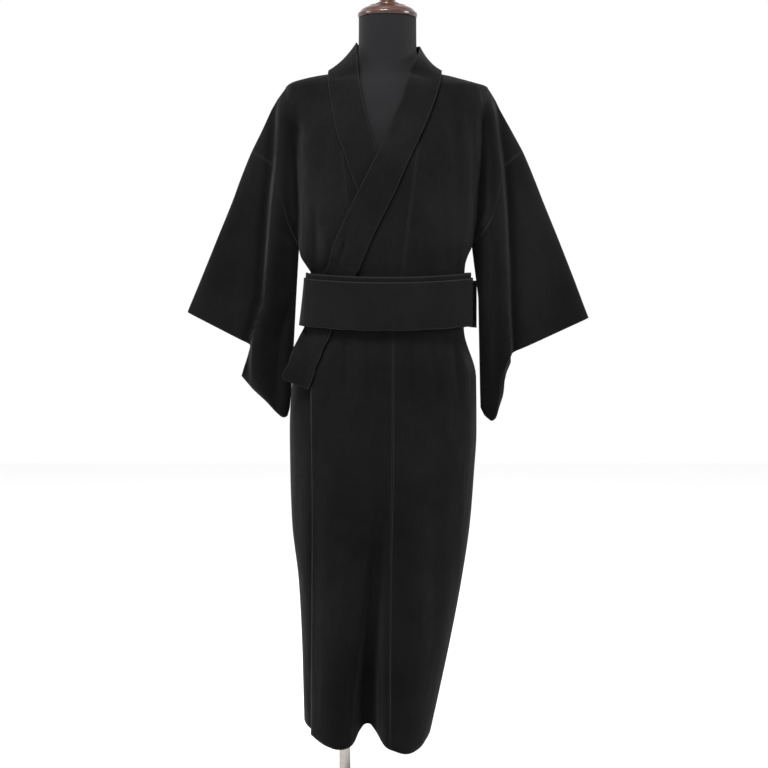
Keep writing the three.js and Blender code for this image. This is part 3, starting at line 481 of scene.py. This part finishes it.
BACK_CREASES = (
    Crease(-120, 1320, -96, 1120, 4.0, 14),
    Crease(-40, 1300, -52, 1060, 3.0, 16),
    Crease(46, 1290, 60, 1050, 3.6, 15),
    Crease(126, 1330, 104, 1140, 4.2, 13),
    Crease(-96, 1100, -88, 1036, -3.0, 9),
    Crease(88, 1110, 92, 1036, 3.0, 9),
    Crease(14, 1150, 20, 1036, -2.4, 10),
    Crease(-118, 912, -132, 760, 3.6, 11),
    Crease(-62, 916, -70, 700, 3.2, 13),
    Crease(34, 916, 42, 730, 3.4, 12),
    Crease(84, 914, 98, 780, 3.0, 10),
    Crease(122, 905, 140, 690, 3.8, 12),
    Crease(-100, 700, -104, 210, 5.0, 22),
    Crease(-34, 640, -40, 190, -4.0, 19),
    Crease(58, 660, 46, 210, 5.0, 20),
    Crease(112, 600, 92, 240, -3.6, 17),
    Crease(-146, 620, -140, 230, 3.4, 14),
)


def sided(table, x, z, ending=""):
    """The right or left column of a table, by the side that each point is on."""
    return np.where(x < 0, read(table, "right" + ending, z), read(table, "left" + ending, z))


def rounded(inside):
    """Quarter circle: 0 at a fold, 1 from one radius inside it."""
    t = np.clip(inside, 0, 1)
    return np.sqrt(1 - (1 - t) ** 2)


def section(z):
    right, left = read(BODY, "right", z), read(BODY, "left", z)
    return (left - right) / 2, (left + right) / 2


def pleat(x, z):
    """The inverted pleat in the middle of the skirt, which opens towards the hem."""
    opening = 1 - smooth(150, 640, z)
    middle = mix(*PLEAT_MIDDLE, opening)
    width = mix(*PLEAT_WIDTH, opening)
    return PLEAT_DEPTH * (1 - smooth(110, 680, z)) ** 1.2 * bump(x - middle, width, 4)


def skirt_waves(x, z, is_front):
    """Broad folds that fill out the skirt on both sides of the pleat and behind."""
    front, back = (np.cos((x - crest) / spread) for crest, spread in (FRONT_WAVE, BACK_WAVE))
    return WAVE_DEPTH * np.where(is_front, front, back) * (1 - smooth(250, 880, z))


def pressed(x, z, creases):
    """Depth of the listed creases, each tapered towards its two ends."""
    total = np.zeros(np.shape(x))
    for crease in creases:
        run = Vector((crease.to_x - crease.x, crease.to_z - crease.z))
        along = ((x - crease.x) * run.x + (z - crease.z) * run.y) / run.length_squared
        held = np.clip(along, 0, 1)
        away = np.hypot(x - crease.x - held * run.x, z - crease.z - held * run.y)
        taper = 1 - np.abs(2 * held - 1) ** 3
        total += CREASE_FACTOR * crease.depth * bump(away, crease.width) * taper
    return total


def hanging_depth(x, z, is_front):
    """Cloth that hangs from the shoulder and makes the sleeve, before the body adds to it."""
    inside = sided(FOLD, x, z) - np.abs(x)
    ridge = np.abs(x) - sided(SLEEVE_RIDGE, x, z)
    flare = mix(0.2, 0.3, smooth(1100, 1300, z)) * np.where(is_front, 1, 0.8)
    fold = RIDGE_HEIGHT * smooth(-48, -4, ridge) * (1 - smooth(1, 12, ridge))
    fold = fold - OUTER_TROUGH * bump(ridge - 15, 9) - INNER_TROUGH * bump(ridge + 46, 13)
    fade = 1 - smooth(1330, 1392, z)
    spread = np.minimum(inside, HANGING_REACH) * flare
    return (HANGING_DEPTH + spread + fold * fade) * rounded(inside / 20)


def depth(x, z, is_front):
    """Depth of the robe in front of or behind the plane of its outer folds."""
    middle, half = section(z)
    across = np.clip(np.abs(x - middle) / half, 0, 1)
    face = np.where(is_front, read(BODY, "front", z), read(BODY, "back", z))
    body = face * (1 - across ** SQUARENESS) ** (1 / SQUARENESS)
    skirt = np.where(is_front, pleat(x, z), 0) - skirt_waves(x, z, is_front)
    low = body - skirt * rounded((1 - across) / 0.35)
    seam_end = np.hypot(np.abs(x) - sided(BODY, x, np.full(np.shape(x), UNDERARM)), z - UNDERARM)
    hanging = hanging_depth(x, z, is_front) * rounded(seam_end / 60)
    to_fold = rounded((sided(FOLD, x, z) - np.abs(x)) / 40)
    armpit = ARMPIT_DEPTH * bump(np.abs(x) - sided(ARMPIT_FOLD, x, z), 11) * smooth(1085, 1150, z)
    armpit = armpit * (1 - smooth(1290, 1370, z)) * to_fold
    high = np.maximum(0, (body ** 5 + np.maximum(hanging, 0) ** 5) ** 0.2 - armpit)
    worn = np.where(z <= UNDERARM, low, high)
    creased = np.where(is_front, pressed(x, z, FRONT_CREASES), pressed(x, z, BACK_CREASES))
    return worn - creased * smooth(4, 60, worn)


def on_robe(x, z, is_front, lift=0):
    """Points on the robe's front or back at front-view places, moved out along the normal."""
    facing = np.where(is_front, -1.0, 1.0)
    d = 1.5
    along_x = (depth(x + d, z, is_front) - depth(x - d, z, is_front)) / (2 * d)
    along_z = (depth(x, z + d, is_front) - depth(x, z - d, is_front)) / (2 * d)
    size = lift / np.sqrt(along_x ** 2 + along_z ** 2 + 1)
    y = facing * (depth(x, z, is_front) + size)
    return np.stack([x - along_x * size, y, z - along_z * size], axis=-1)


def on_ring(angle, z, lift=0):
    """Points on the section at a height. Angle 0 is the middle of the front, + is the left side."""
    middle, half = section(z)

    def place(a):
        s = np.sin(a)
        x = middle + half * np.sign(s) * np.abs(s) ** (2 / SQUARENESS)
        is_front = np.cos(a) >= 0
        return x, np.where(is_front, -1, 1) * depth(x, z, is_front)

    x, y = place(angle)
    (x_after, y_after), (x_before, y_before) = place(angle + 0.02), place(angle - 0.02)
    run_x, run_y = x_after - x_before, y_after - y_before
    length = np.hypot(run_x, run_y)
    return np.stack([x + lift * run_y / length, y - lift * run_x / length, z + 0 * x], axis=-1)


def angle_at(x, z):
    middle, half = section(z)
    across = np.minimum(1, np.abs(x - middle) / half)
    return np.sign(x - middle) * np.arcsin(across ** (SQUARENESS / 2))


def over_lift(x, z):
    """The upper (left) front lies over the under (right) front and its collar."""
    return OVER_FRONT_LIFT * (1 - smooth(0.8, 1.5, angle_at(x, z))) * (1 - smooth(1240, 1340, z))


def under_lift(x, z):
    """The under front hangs a little inside the upper one towards the hem."""
    return -UNDER_FRONT_SINK * smooth(-1.3, -0.75, angle_at(x, z)) * (1 - smooth(300, 860, z))


def hem_height(x, is_front):
    """The back hem rises towards the sides, and the front one follows its own table."""
    middle, half = section(np.full(np.shape(x), BODY["z"][0]))
    back = BACK_HEM + BACK_HEM_RISE * np.minimum(1, np.abs(x - middle) / half) ** 4
    return np.where(is_front, read(HEM, "z", x, key="x"), back)


def hung(level, x, is_front):
    """Height of a skirt point once the level rows are drawn down to the uneven hem."""
    share = np.clip((level - BODY["z"][0]) / (WAIST - BODY["z"][0]), 0, 1)
    return mix(hem_height(x, is_front), WAIST, share)


def along_chain(corners, share):
    """Places at these shares of the way along a chain of front-view corners."""
    corners = np.array(corners, float)
    lengths = np.hypot(*np.diff(corners, axis=0).T)
    run = np.concatenate([[0], np.cumsum(lengths)])
    return [np.interp(share * run[-1], run, column) for column in corners.T]


def shoulder_line(side):
    """The fold over the shoulder, from the neck to the top of the sleeve seam."""
    corners = [(out, z) for z, out in zip(FOLD["z"], FOLD[side]) if z >= SLEEVE_SEAM["z"][-1]]
    return corners[::-1]


def bodice_place(side, is_front, across, rise):
    """Front-view place: across from the inner edge to the sleeve, rise from waist to shoulder."""
    sign = -1 if side == "right" else 1
    top_z, seam_top = FOLD["z"][-1], SLEEVE_SEAM["z"][-1]
    back_neck = smooth(0.93, 1, rise)
    if is_front:
        inner_z = mix(WAIST, top_z, rise)
        inner_x = sign * read(FRONT_SEAMS, side + "_seam", inner_z)
    else:
        inner_z = mix(mix(WAIST, BACK_NECK, rise), top_z, back_neck)
        inner_x = mix(sign * section(inner_z)[0] + SEAM / 2, FOLD[side][-1], back_neck)
    seam_share = (UNDERARM - WAIST) / (seam_top - WAIST)
    outer_z = mix(WAIST, seam_top, rise)
    outer_x = np.where(rise < seam_share, read(BODY, side, outer_z),
                       read(SLEEVE_SEAM, side, outer_z))
    line = shoulder_line(side)
    (neck_x, neck_z), (arm_x, arm_z) = line[0], line[-1]
    top_x, shoulder_z = along_chain(line, across)
    pull = rise ** 2
    x = mix(inner_x, outer_x, across) + pull * (top_x - mix(neck_x, arm_x, across))
    z = mix(inner_z, outer_z, across) + pull * (shoulder_z - mix(neck_z, arm_z, across))
    return sign * x, z


def steps(count):
    return np.linspace(0, 1, count + 1)


def seam_shares(count):
    """Shares of the way up the sleeve seam, closer together at both of its ends."""
    return (1 - np.cos(steps(count) * math.pi)) / 2


HIPS = 860                       # the rows are closer together from here up to the waist
SKIRT_LEVELS = np.concatenate([np.linspace(BODY["z"][0], HIPS, 70)[:-1],
                               np.linspace(HIPS, WAIST, 24)[:-1]])
PANEL_COLUMNS = 56


def body_points(side):
    sign = -1 if side == "right" else 1
    lift_of = under_lift if side == "right" else over_lift
    seam_top = SLEEVE_SEAM["z"][-1]
    seam_start = (UNDERARM - WAIST) / (seam_top - WAIST)
    rises = np.concatenate([steps(7)[:-1] * seam_start, mix(seam_start, 1, seam_shares(52))])
    columns = steps(PANEL_COLUMNS)
    waist_x = read(FRONT_SEAMS, side + "_seam", np.array([WAIST]))
    waist_angle = abs(angle_at(waist_x, np.array([WAIST]))[0])

    def skirt(is_front):
        level, w = np.meshgrid(SKIRT_LEVELS, columns, indexing="ij")
        seam_x = read(FRONT_SEAMS, side + "_seam", level) + sign * SEAM
        edge = SEAM / section(level)[1]
        outer = sign * (math.pi / 2 + (edge if not is_front else -edge) / 2)

        def turn_at(z):
            inner = angle_at(seam_x, z) if is_front else sign * (math.pi - edge / 2)
            return mix(inner, outer, w)

        z = hung(level, on_ring(turn_at(level), level)[..., 0], is_front)
        angle = turn_at(z)
        lift = lift_of(on_ring(angle, z)[..., 0], z) if is_front else 0
        return on_ring(angle, z, lift)

    def bodice(is_front):
        inner = waist_angle if is_front else math.pi
        turn = mix(inner, math.pi / 2, columns)
        placed = np.abs(np.sin(turn)) ** (2 / SQUARENESS)
        start = abs(math.sin(inner)) ** (2 / SQUARENESS)
        rise, across = np.meshgrid(rises, (placed - start) / (1 - start), indexing="ij")
        x, z = bodice_place(side, is_front, across, rise)
        if is_front:
            x[:, 0] += sign * SEAM
        lift = over_lift(x, z) if is_front and side == "left" else 0
        points = on_robe(x, z, is_front, lift)
        points[-1] = np.stack([x[-1], 0 * x[-1], z[-1]], axis=-1)
        below = z[:, -1] <= UNDERARM + 0.01
        side_y = np.full(below.sum(), -SEAM if is_front else SEAM)
        points[below, -1] = np.stack([x[below, -1], side_y, z[below, -1]], -1)
        return points

    front, back = bodice(True), bodice(False)
    return np.concatenate([skirt(True), front, back[:-1][::-1], skirt(False)[::-1]])


def add_math(tree, operation, *values):
    return add_node(tree, "Math", dict(enumerate(values)), operation=operation).outputs[0]


def new_group(name, inputs, outputs):
    """An empty node group with its sockets, its entry node and its leave node."""
    group = bpy.data.node_groups.new(name, "ShaderNodeTree")
    for socket, kind in inputs.items():
        group.interface.new_socket(socket, in_out="INPUT", socket_type="NodeSocket" + kind)
    for socket in outputs:
        group.interface.new_socket(socket, in_out="OUTPUT", socket_type="NodeSocketFloat")
    return group, group.nodes.new("NodeGroupInput"), group.nodes.new("NodeGroupOutput")


def weave_group():
    """Plain weave from a cut-size UV map: thread relief, and the tint of its uneven yarn."""
    group, entry, leave = new_group("plain_weave", {"Cut": "Vector", "Threads": "Float"},
                                    ("Relief", "Yarn"))
    cut, threads = entry.outputs["Cut"], entry.outputs["Threads"]
    split = add_node(group, "SeparateXYZ", {"Vector": cut})
    waves = [add_math(group, "SINE", add_math(group, "MULTIPLY", split.outputs[axis], threads))
             for axis in ("X", "Y")]
    warp = add_noise(group, cut, stretch=(900, 30, 1), Scale=1.0, Detail=2.0)
    weft = add_noise(group, cut, stretch=(26, 800, 1), Scale=1.0, Detail=2.0)
    yarn = add_math(group, "MULTIPLY", add_math(group, "ADD", warp, weft), 0.5)
    group.links.new(add_math(group, "MULTIPLY", *waves), leave.inputs["Relief"])
    group.links.new(yarn, leave.inputs["Yarn"])
    return group


def wrinkle_group():
    """The soft uneven handling wrinkles of worn cotton, long in the hanging direction."""
    group, entry, leave = new_group("soft_wrinkles", {"Place": "Vector"}, ("Relief",))
    place = entry.outputs["Place"]
    broad = add_noise(group, place, stretch=(13, 13, 3.4), Scale=1.0, Detail=2.0, Distortion=0.4)
    fine = add_noise(group, place, stretch=(60, 60, 34), Scale=1.0, Detail=3.0)
    both = add_math(group, "ADD", broad, add_math(group, "MULTIPLY", fine, 0.12))
    group.links.new(both, leave.inputs["Relief"])
    return group


def painted_edge_light_group():
    """Painted light along the cut's edges: a painted shadow line at the very edge, where a seam's groove
    would be in shade, then a paler painted highlight, where a pressed edge would catch the light.
    """
    group, entry, leave = new_group("painted_edge_light", {"Distance": "Float"}, ("Painted_Seam_Shadow", "Painted_Edge_Highlight"))
    for name, full, gone in (("Painted_Seam_Shadow", 0.0004, 0.0011), ("Painted_Edge_Highlight", 0.0012, 0.0030)):
        line = add_node(group, "MapRange", {"Value": entry.outputs["Distance"], "From Min": full,
                                            "From Max": gone, "To Min": 1.0, "To Max": 0.0},
                        interpolation_type="SMOOTHSTEP")
        group.links.new(line.outputs["Result"], leave.inputs[name])
    return group


plain_weave, soft_wrinkles, painted_edge_light = weave_group(), wrinkle_group(), painted_edge_light_group()


def cloth_material(name, dark, light, edge_highlight_tone, threads, wrinkle, **constants):
    """Woven cloth from the tones of its yarn and of the highlight painted along its edges, its threads
    in a metre and the strength of its wrinkles. A painted shadow line also runs along its very edges."""
    made, tree, shader = new_material(name, **constants)
    where = add_node(tree, "TexCoord").outputs
    weave = add_node(tree, "Group", {"Cut": where["UV"], "Threads": threads * 2 * math.pi},
                     node_tree=plain_weave)
    creased = add_node(tree, "Group", {"Place": where["Object"]}, node_tree=soft_wrinkles)
    soft = add_node(tree, "Bump", {"Height": creased.outputs["Relief"], "Strength": wrinkle,
                                   "Distance": 0.02})
    woven = add_node(tree, "Bump", {"Height": weave.outputs["Relief"], "Strength": 0.5,
                                    "Distance": 0.0001, "Normal": soft.outputs["Normal"]})
    tree.links.new(woven.outputs["Normal"], shader.inputs["Normal"])
    faded = add_noise(tree, where["Object"], Scale=5.0, Detail=3.0)
    blend = add_math(tree, "MULTIPLY", weave.outputs["Yarn"], faded)
    tint = add_ramp(tree, blend, dark, light, 0.12, 0.4)
    distance = add_node(tree, "Attribute", attribute_name="edge_distance")
    edge = add_node(tree, "Group", {"Distance": distance.outputs["Fac"]}, node_tree=painted_edge_light)
    # painted highlight a little inside the cut edges, where pressed edges would catch the light
    highlighted = add_node(tree, "Mix", {"Factor": edge.outputs["Painted_Edge_Highlight"], "A": tint,
                                    "B": (*edge_highlight_tone, 1)}, data_type="RGBA")
    # painted shadow line at the very edge, where a seam's groove would be in shade
    seam_shaded = add_node(tree, "Mix", {"Factor": edge.outputs["Painted_Seam_Shadow"], "A": highlighted.outputs["Result"],
                                   "B": (*dark, 1)}, data_type="RGBA")
    tree.links.new(seam_shaded.outputs["Result"], shader.inputs["Base Color"])
    tree.links.new(add_range(tree, weave.outputs["Yarn"], 0.8, 0.95), shader.inputs["Roughness"])
    return made


# the third tone is the painted highlight along the cut edges
cotton = cloth_material("black_cotton", (0.0019, 0.0019, 0.002), (0.006, 0.006, 0.0062),
                        (0.0095, 0.0095, 0.0098), 1300, 0.5,
                        Sheen_Weight=0.035, Sheen_Roughness=0.4, Specular_IOR_Level=0.03)


def cloth_piece(name, points, cut, thickness, material, replaced, is_ring=False):
    """A sheet of cloth through these points, given its thickness evenly on both sides."""
    piece = finished(name, grid_mesh(points, cut, is_ring), material, replaced)
    wall = piece.modifiers.new("thickness", "SOLIDIFY")
    wall.thickness = thickness * MM
    wall.offset = 0
    return piece


for side in ("right", "left"):
    panel = cloth_piece("panel_" + side, body_points(side), BODY_CUT, CLOTH, cotton,
                        "body_" + side)


# ---- Overlap panels ----------------
# Half a width of the same cotton sewn to the front edge of each body panel, running out to a
# point under the collar. The left one lies on top and its free edge hangs straight down.

OVERLAP_TOP = 1282
OVERLAP_CUT = (0.15, 1.30)


def overlap_points(side, columns):
    sign = -1 if side == "right" else 1
    levels = np.concatenate([SKIRT_LEVELS, np.linspace(WAIST, OVERLAP_TOP, 36)])
    level, w = np.meshgrid(levels, steps(columns), indexing="ij")
    seam = read(FRONT_SEAMS, side + "_seam", level) - sign * SEAM
    x = mix(seam, read(FRONT_SEAMS, side + "_edge", level), w)
    z = np.where(level < WAIST, hung(level, x, True), level)
    lift = under_lift(x, z) if side == "right" else over_lift(x, z)
    return on_robe(x, z, True, lift)


for side in ("right", "left"):
    overlap = cloth_piece("overlap_" + side, overlap_points(side, 40), OVERLAP_CUT, CLOTH, cotton,
                          "okumi_" + side)


# ---- Sleeves ----------------
# Each sleeve is one width of cotton folded over the arm and sewn along the bottom into a deep,
# square bag that stays open at the cuff. It joins the body only from the shoulder to the underarm.

SLEEVE_CUT = (0.98, 0.34)
CUFF_HEM = 0.9                   # how much thicker the hem at the cuff is
BAG_LEAST_DEPTH = 2.2            # half the gap left between the sleeve's two walls
BOTTOM_TIGHTNESS = 6             # how closely the bottom's bend stays to it near the cuff

# Corners of each sleeve in the front view, as (distance from the middle, height): down the cuff
# from its fold, and from the underarm down beside the body, round the hanging tip to the cuff.
SLEEVE = {
    "right": {"cuff": ((389, 956), (263, 893), (284, 832)),
              "bottom": ((172, 1085), (178, 985), (188, 800), (191, 770), (196, 752), (206, 751),
                         (220, 764), (236, 782), (262, 806), (284, 832))},
    "left": {"cuff": ((390, 945), (236, 876), (239, 857)),
             "bottom": ((164, 1085), (177, 985), (181, 800), (182, 770), (190, 754), (204, 743),
                        (212, 750), (217, 769), (225, 794), (226, 815), (231, 838), (239, 857))},
}


def sleeve_place(side, along, down):
    """Front-view place: along from the seam to the cuff, down from the top fold to the bottom."""
    shape = SLEEVE[side]
    cuff_top, underarm, corner = shape["cuff"][0], shape["bottom"][0], shape["cuff"][-1]
    top_z, top_out = SLEEVE_SEAM["z"][-1], SLEEVE_SEAM[side][-1]
    seam_z = mix(top_z, UNDERARM, down)
    start = (read(SLEEVE_SEAM, side, seam_z), seam_z)
    fold_z = mix(top_z, cuff_top[1], along)
    top = (read(FOLD, side, fold_z), fold_z)
    cuff = along_chain(shape["cuff"], down)
    bottom = along_chain(shape["bottom"], along)
    bottom_reach = down ** mix(1, BOTTOM_TIGHTNESS, along ** 2)
    place = []
    for k, seam_top in enumerate((top_out, top_z)):
        top_bend = top[k] - mix(seam_top, cuff_top[k], along)
        bottom_bend = bottom[k] - mix(underarm[k], corner[k], along)
        patch = mix(start[k], cuff[k], along)
        place.append(patch + (1 - down) * top_bend + bottom_reach * bottom_bend)
    return place


def sleeve_points(side):
    sign = -1 if side == "right" else 1
    downs = 1 - seam_shares(52)[::-1]
    shares = np.concatenate([downs, downs[:-1][::-1]])
    is_front = np.arange(len(shares)) < len(downs)
    along, down = np.meshgrid(steps(84), shares, indexing="ij")
    front = np.broadcast_to(is_front, along.shape)
    out, z = sleeve_place(side, along, down)
    own = hanging_depth(sign * out, z, front) * rounded((1 - down) / 0.3)
    worn = depth(sign * out, z, front)
    hem = CUFF_HEM * smooth(0.935, 0.945, along)
    leaving = np.maximum(smooth(0, 0.3, along), 1 - smooth(UNDERARM, 1125, z))
    y = np.maximum(mix(worn, own, leaving), np.where(down > 0.999, 0, BAG_LEAST_DEPTH)) + hem
    y = np.where(down < 1e-9, 0, y)
    points = np.stack([sign * out, np.where(front, -y, y), z], axis=-1)
    step = np.linalg.norm(points[1] - points[0], axis=-1, keepdims=True)
    points[0] = mix(points[0], points[1], np.minimum(0.8, 0.2 * SEAM / step))
    return points


for side in ("right", "left"):
    sleeve = cloth_piece("sleeve_" + side + "_cloth", sleeve_points(side), SLEEVE_CUT, CLOTH, cotton,
                         "sleeve_" + side, is_ring=True)


# ---- Collar ----------------
# One long band of cotton folded double round a stay and sewn to both fronts and the back neck. Its
# left end lies on top, down past the obi to the free corner, and its right end runs under it.

COLLAR_CUT = (0.06, 1.90)
COLLAR_THICK = 2.6
NECK_ROLL = 5                    # how far the band is hollowed between its edges round the neck
OVER, UNDER = 12, 3.4            # how far each half lies outside the body panels

# Stations from the left (upper) end to the right (under) one: the sewn edge, the folded edge, and
# either the lift on the robe's front or, round the neck, the two edges' own depths.
Station = namedtuple("Station", "outer_x outer_z inner_x inner_z lift outer_y inner_y",
                     defaults=(None, 0, 0))
COLLAR = (
    Station(-142, 809, -196, 830, OVER),
    Station(-125, 855, -174, 877, OVER),
    Station(-97, 924, -143, 940, OVER),
    Station(-59, 1023, -113, 1043, OVER),
    Station(-22, 1109, -76, 1137, OVER),
    Station(12, 1178, -44, 1204, OVER),
    Station(39, 1240, -12, 1268, OVER),
    Station(57, 1279, 3, 1304, 10.5),
    Station(82, 1337, 25, 1356, 6),
    Station(98, 1386, 40, 1406, 6),
    Station(103, 1413, 50, 1432, None, -50, -66),
    Station(102, 1421, 62, 1464, None, 0, -6),
    Station(88, 1418, 58, 1473, None, 50, 36),
    Station(50, 1409, 36, 1471, None, 80, 62),
    Station(0, 1404, 0, 1468, None, 91, 71),
    Station(-50, 1409, -36, 1471, None, 80, 62),
    Station(-92, 1418, -57, 1477, None, 50, 36),
    Station(-110, 1422, -59, 1474, None, 0, -6),
    Station(-113, 1413, -57, 1434, None, -48, -62),
    Station(-112, 1388, -54, 1402, 5),
    Station(-107, 1355, -48, 1366, 4.5),
    Station(-93, 1287, -33, 1304, UNDER),
    Station(-80, 1251, -22, 1270, UNDER),
    Station(-61, 1195, -6, 1219, UNDER),
    Station(-30, 1112, 24, 1138, UNDER),
    Station(8, 1035, 60, 1062, UNDER),
    Station(38, 958, 92, 978, UNDER),
)


def collar_place(x, z, lift):
    """Under the obi the collar bends round the waist; below it the end is a flat board."""
    middle, half = section(z)
    reach = half * mix(0.8, 0.97, smooth(860, 920, z))
    held = middle + np.clip(x - middle, -reach, reach)
    points = on_robe(held, z, True, lift)
    points[..., 0] += x - held
    return points


def curve(knots, share):
    """A centripetal curve through the knots, at shares of the way along them."""
    knots = np.concatenate([2 * knots[:1] - knots[1:2], knots, 2 * knots[-1:] - knots[-2:-1]])
    spans = len(knots) - 3
    i = np.minimum(spans - 1, np.floor(share * spans + 1e-9).astype(int))
    t = (share * spans - i)[:, None]
    a, b, c, d = knots[i], knots[i + 1], knots[i + 2], knots[i + 3]
    gap = [np.sqrt(np.linalg.norm(q - p, axis=1, keepdims=True))
           for p, q in ((a, b), (b, c), (c, d))]
    start = ((b - a) / gap[0] - (c - a) / (gap[0] + gap[1]) + (c - b) / gap[1]) * gap[1]
    end = ((c - b) / gap[1] - (d - b) / (gap[1] + gap[2]) + (d - c) / gap[2]) * gap[1]
    return (b + start * t + (3 * (c - b) - 2 * start - end) * t ** 2
            + (2 * (b - c) + start + end) * t ** 3)


def collar_edge(edge, is_worn):
    """One edge's stations, lying flat in the front view or worn."""
    knots = []
    for row in COLLAR:
        x, y, z = (getattr(row, edge + axis) for axis in ("_x", "_y", "_z"))
        if row.lift is None:
            knots.append((x, y, z))
        elif is_worn:
            knots.append(collar_place(np.array([x], float), np.array([z], float), row.lift)[0])
        else:
            knots.append((x, 0, z))
    return np.array(knots, float)


def collar_points(rows_per_station=10, columns=12):
    spans = len(COLLAR) - 1
    share = steps(spans * rows_per_station)
    flat_outer, flat_inner, worn_outer, worn_inner = (
        curve(collar_edge(edge, is_worn), share)[:, None]
        for is_worn in (False, True) for edge in ("outer", "inner"))
    w = steps(columns)[None, :, None]
    row = np.minimum(spans - 1, np.floor(share * spans + 1e-6).astype(int))
    lifts = np.array([np.nan if station.lift is None else station.lift for station in COLLAR])
    lift = mix(lifts[row], lifts[row + 1], share * spans - row)
    flat = mix(flat_outer, flat_inner, w)
    laid = collar_place(flat[..., 0], flat[..., 2], np.nan_to_num(lift)[:, None])
    free = mix(worn_outer, worn_inner, w)
    round_neck = smooth(9.5, 11.5, share * spans) * (1 - smooth(16.5, 18.5, share * spans))
    free[..., 2] -= NECK_ROLL * round_neck[:, None] * np.sin(math.pi * w[..., 0])
    return np.where(np.isnan(lift)[:, None, None], free, laid)


band = cloth_piece("collar_band", collar_points(), COLLAR_CUT, COLLAR_THICK, cotton, "collar")
edge = band.modifiers.new("rounded_fold", "BEVEL")
edge.width = 0.9 * MM
edge.segments = 2
edge.angle_limit = math.radians(50)


# ---- Obi ----------------
# A narrow stiff sash of ribbed black cotton, folded flat and wound twice round the waist, with the
# inner turn showing above the outer one. It is tied behind in a flat knot with one free end.

OBI_THICK = 2.0
OBI_WIDTH = 92
OBI_BOTTOM = 922                 # at the middle of the front
OBI_STEP = 10                    # the inner turn shows this much above the outer one
OBI_SMILE = 9                    # both turns rise this much towards the sides
OBI_HUG = 9                      # how far the right side's top edge is drawn in
OBI_MIDDLE = 970.0               # height of the section that the knot and free end lie on
TURN_CUT = (1.02, 0.092)

# Each turn's name and node, its lower edge, and how far it lies outside the front and the back.
Turn = namedtuple("Turn", "name node bottom front_lift back_lift")
TURNS = (
    Turn("obi_under_turn", "obi_inner_wrap", OBI_BOTTOM + OBI_STEP, 17.8, 5.2),
    Turn("obi_over_turn", "obi_outer_wrap", OBI_BOTTOM, 21.6, 8.8),
)

# Small dents along the lower edge, where the sash gives between the folds under it.
# Each row is (sideways place, depth, width).
EDGE_DENTS = ((-67, 1.6, 5), (-5, 1.2, 7), (131, 1.8, 6), (-120, 0.8, 9), (70, 0.9, 12))


def obi_lift(angle, rise, front_lift, back_lift):
    """Tight over the back and at the top of the right side, and out over the crossed fronts."""
    over_front = smooth(-2.6, -1.9, angle) * (1 - smooth(1.1, 1.9, angle))
    hug = np.where(angle < 0, OBI_HUG, 0) * np.sin(angle) ** 16 * rise
    return mix(back_lift, front_lift, over_front) - hug


def obi_turn(bottom, front_lift, back_lift):
    rise, t = np.meshgrid(steps(20), steps(300), indexing="ij")
    angle = mix(-math.pi, math.pi, t)
    z = bottom + OBI_SMILE * np.sin(angle) ** 2 + rise * OBI_WIDTH
    lift = obi_lift(angle, rise, front_lift, back_lift)
    points = on_ring(angle, np.minimum(z, OBI_BOTTOM + OBI_WIDTH), lift)
    dent = sum(size * bump(points[..., 0] - x, width) for x, size, width in EDGE_DENTS)
    is_front = np.cos(angle) > 0
    points[..., 2] = z + np.where(is_front, dent, 0) * (1 - smooth(0, 0.3, rise))
    return points


# the third tone is the painted highlight along the cut edges
obi_cloth = cloth_material("ribbed_obi", (0.0018, 0.0018, 0.0019), (0.0052, 0.0052, 0.0054),
                           (0.012, 0.012, 0.0123), 700, 0.2,
                           Sheen_Weight=0.03, Sheen_Roughness=0.4, Specular_IOR_Level=0.04)


def obi_piece(name, points, cut, node, is_ring=False):
    return cloth_piece(name, points, cut, OBI_THICK, obi_cloth, node, is_ring)


for row in TURNS:
    turn = obi_piece(row.name, obi_turn(row.bottom, row.front_lift, row.back_lift), TURN_CUT, row.node,
                     is_ring=True)

# The free end, laid round the waist from the knot to the wearer's left side.
TAIL_CUT = (0.16, 0.092)
TAIL_TURN = (2.72, 1.62)         # angles round the waist, from the knot to the free edge
TAIL_LIFT = (15, 25)             # how far it lies outside the robe at those two places
TAIL_STEP = 5                    # how far its lower edge is above the outer turn's
rise, t = np.meshgrid(steps(18), steps(60), indexing="ij")
tail_points = on_ring(mix(*TAIL_TURN, t), np.full(t.shape, OBI_MIDDLE), mix(*TAIL_LIFT, t))
tail_points[..., 2] = OBI_BOTTOM + TAIL_STEP + rise * OBI_WIDTH + 1.5 * np.sin(5 * t)
tail = obi_piece("obi_free_end", tail_points, TAIL_CUT, "obi_knot_tail")

# The knot: the sash folded over itself into a flat loop that stands on its edge.
KNOT_CUT = (0.22, 0.118)
KNOT_BOTTOM, KNOT_HEIGHT = 932, 118
KNOT_LEAN = 14                   # how far its top is to the left of its bottom
KNOT_OUTLINE = np.array([(-46, 14), (-20, 17), (10, 17), (40, 14), (46, 18), (40, 24), (10, 28),
                         (-20, 28), (-46, 24), (-52, 19)], float)
knot_back = read(BODY, "back", np.array([OBI_MIDDLE]))[0]
closed = np.concatenate([KNOT_OUTLINE, KNOT_OUTLINE[:1]])
knot_loop = curve(np.concatenate([closed, np.zeros((len(closed), 1))], axis=1), steps(120))
knot_loop[-1] = knot_loop[0]
rise, spot = np.meshgrid(steps(24), np.arange(len(knot_loop)), indexing="ij")
pinch = 1 - 0.12 * bump(rise - 0.5, 0.22)
knot_x = knot_loop[spot, 0] * pinch + KNOT_LEAN * (rise - 0.5)
knot_points = np.stack([knot_x, knot_back + knot_loop[spot, 1], KNOT_BOTTOM + rise * KNOT_HEIGHT],
                       axis=-1)
knot = obi_piece("obi_flat_knot", knot_points, KNOT_CUT, "obi_knot", is_ring=True)
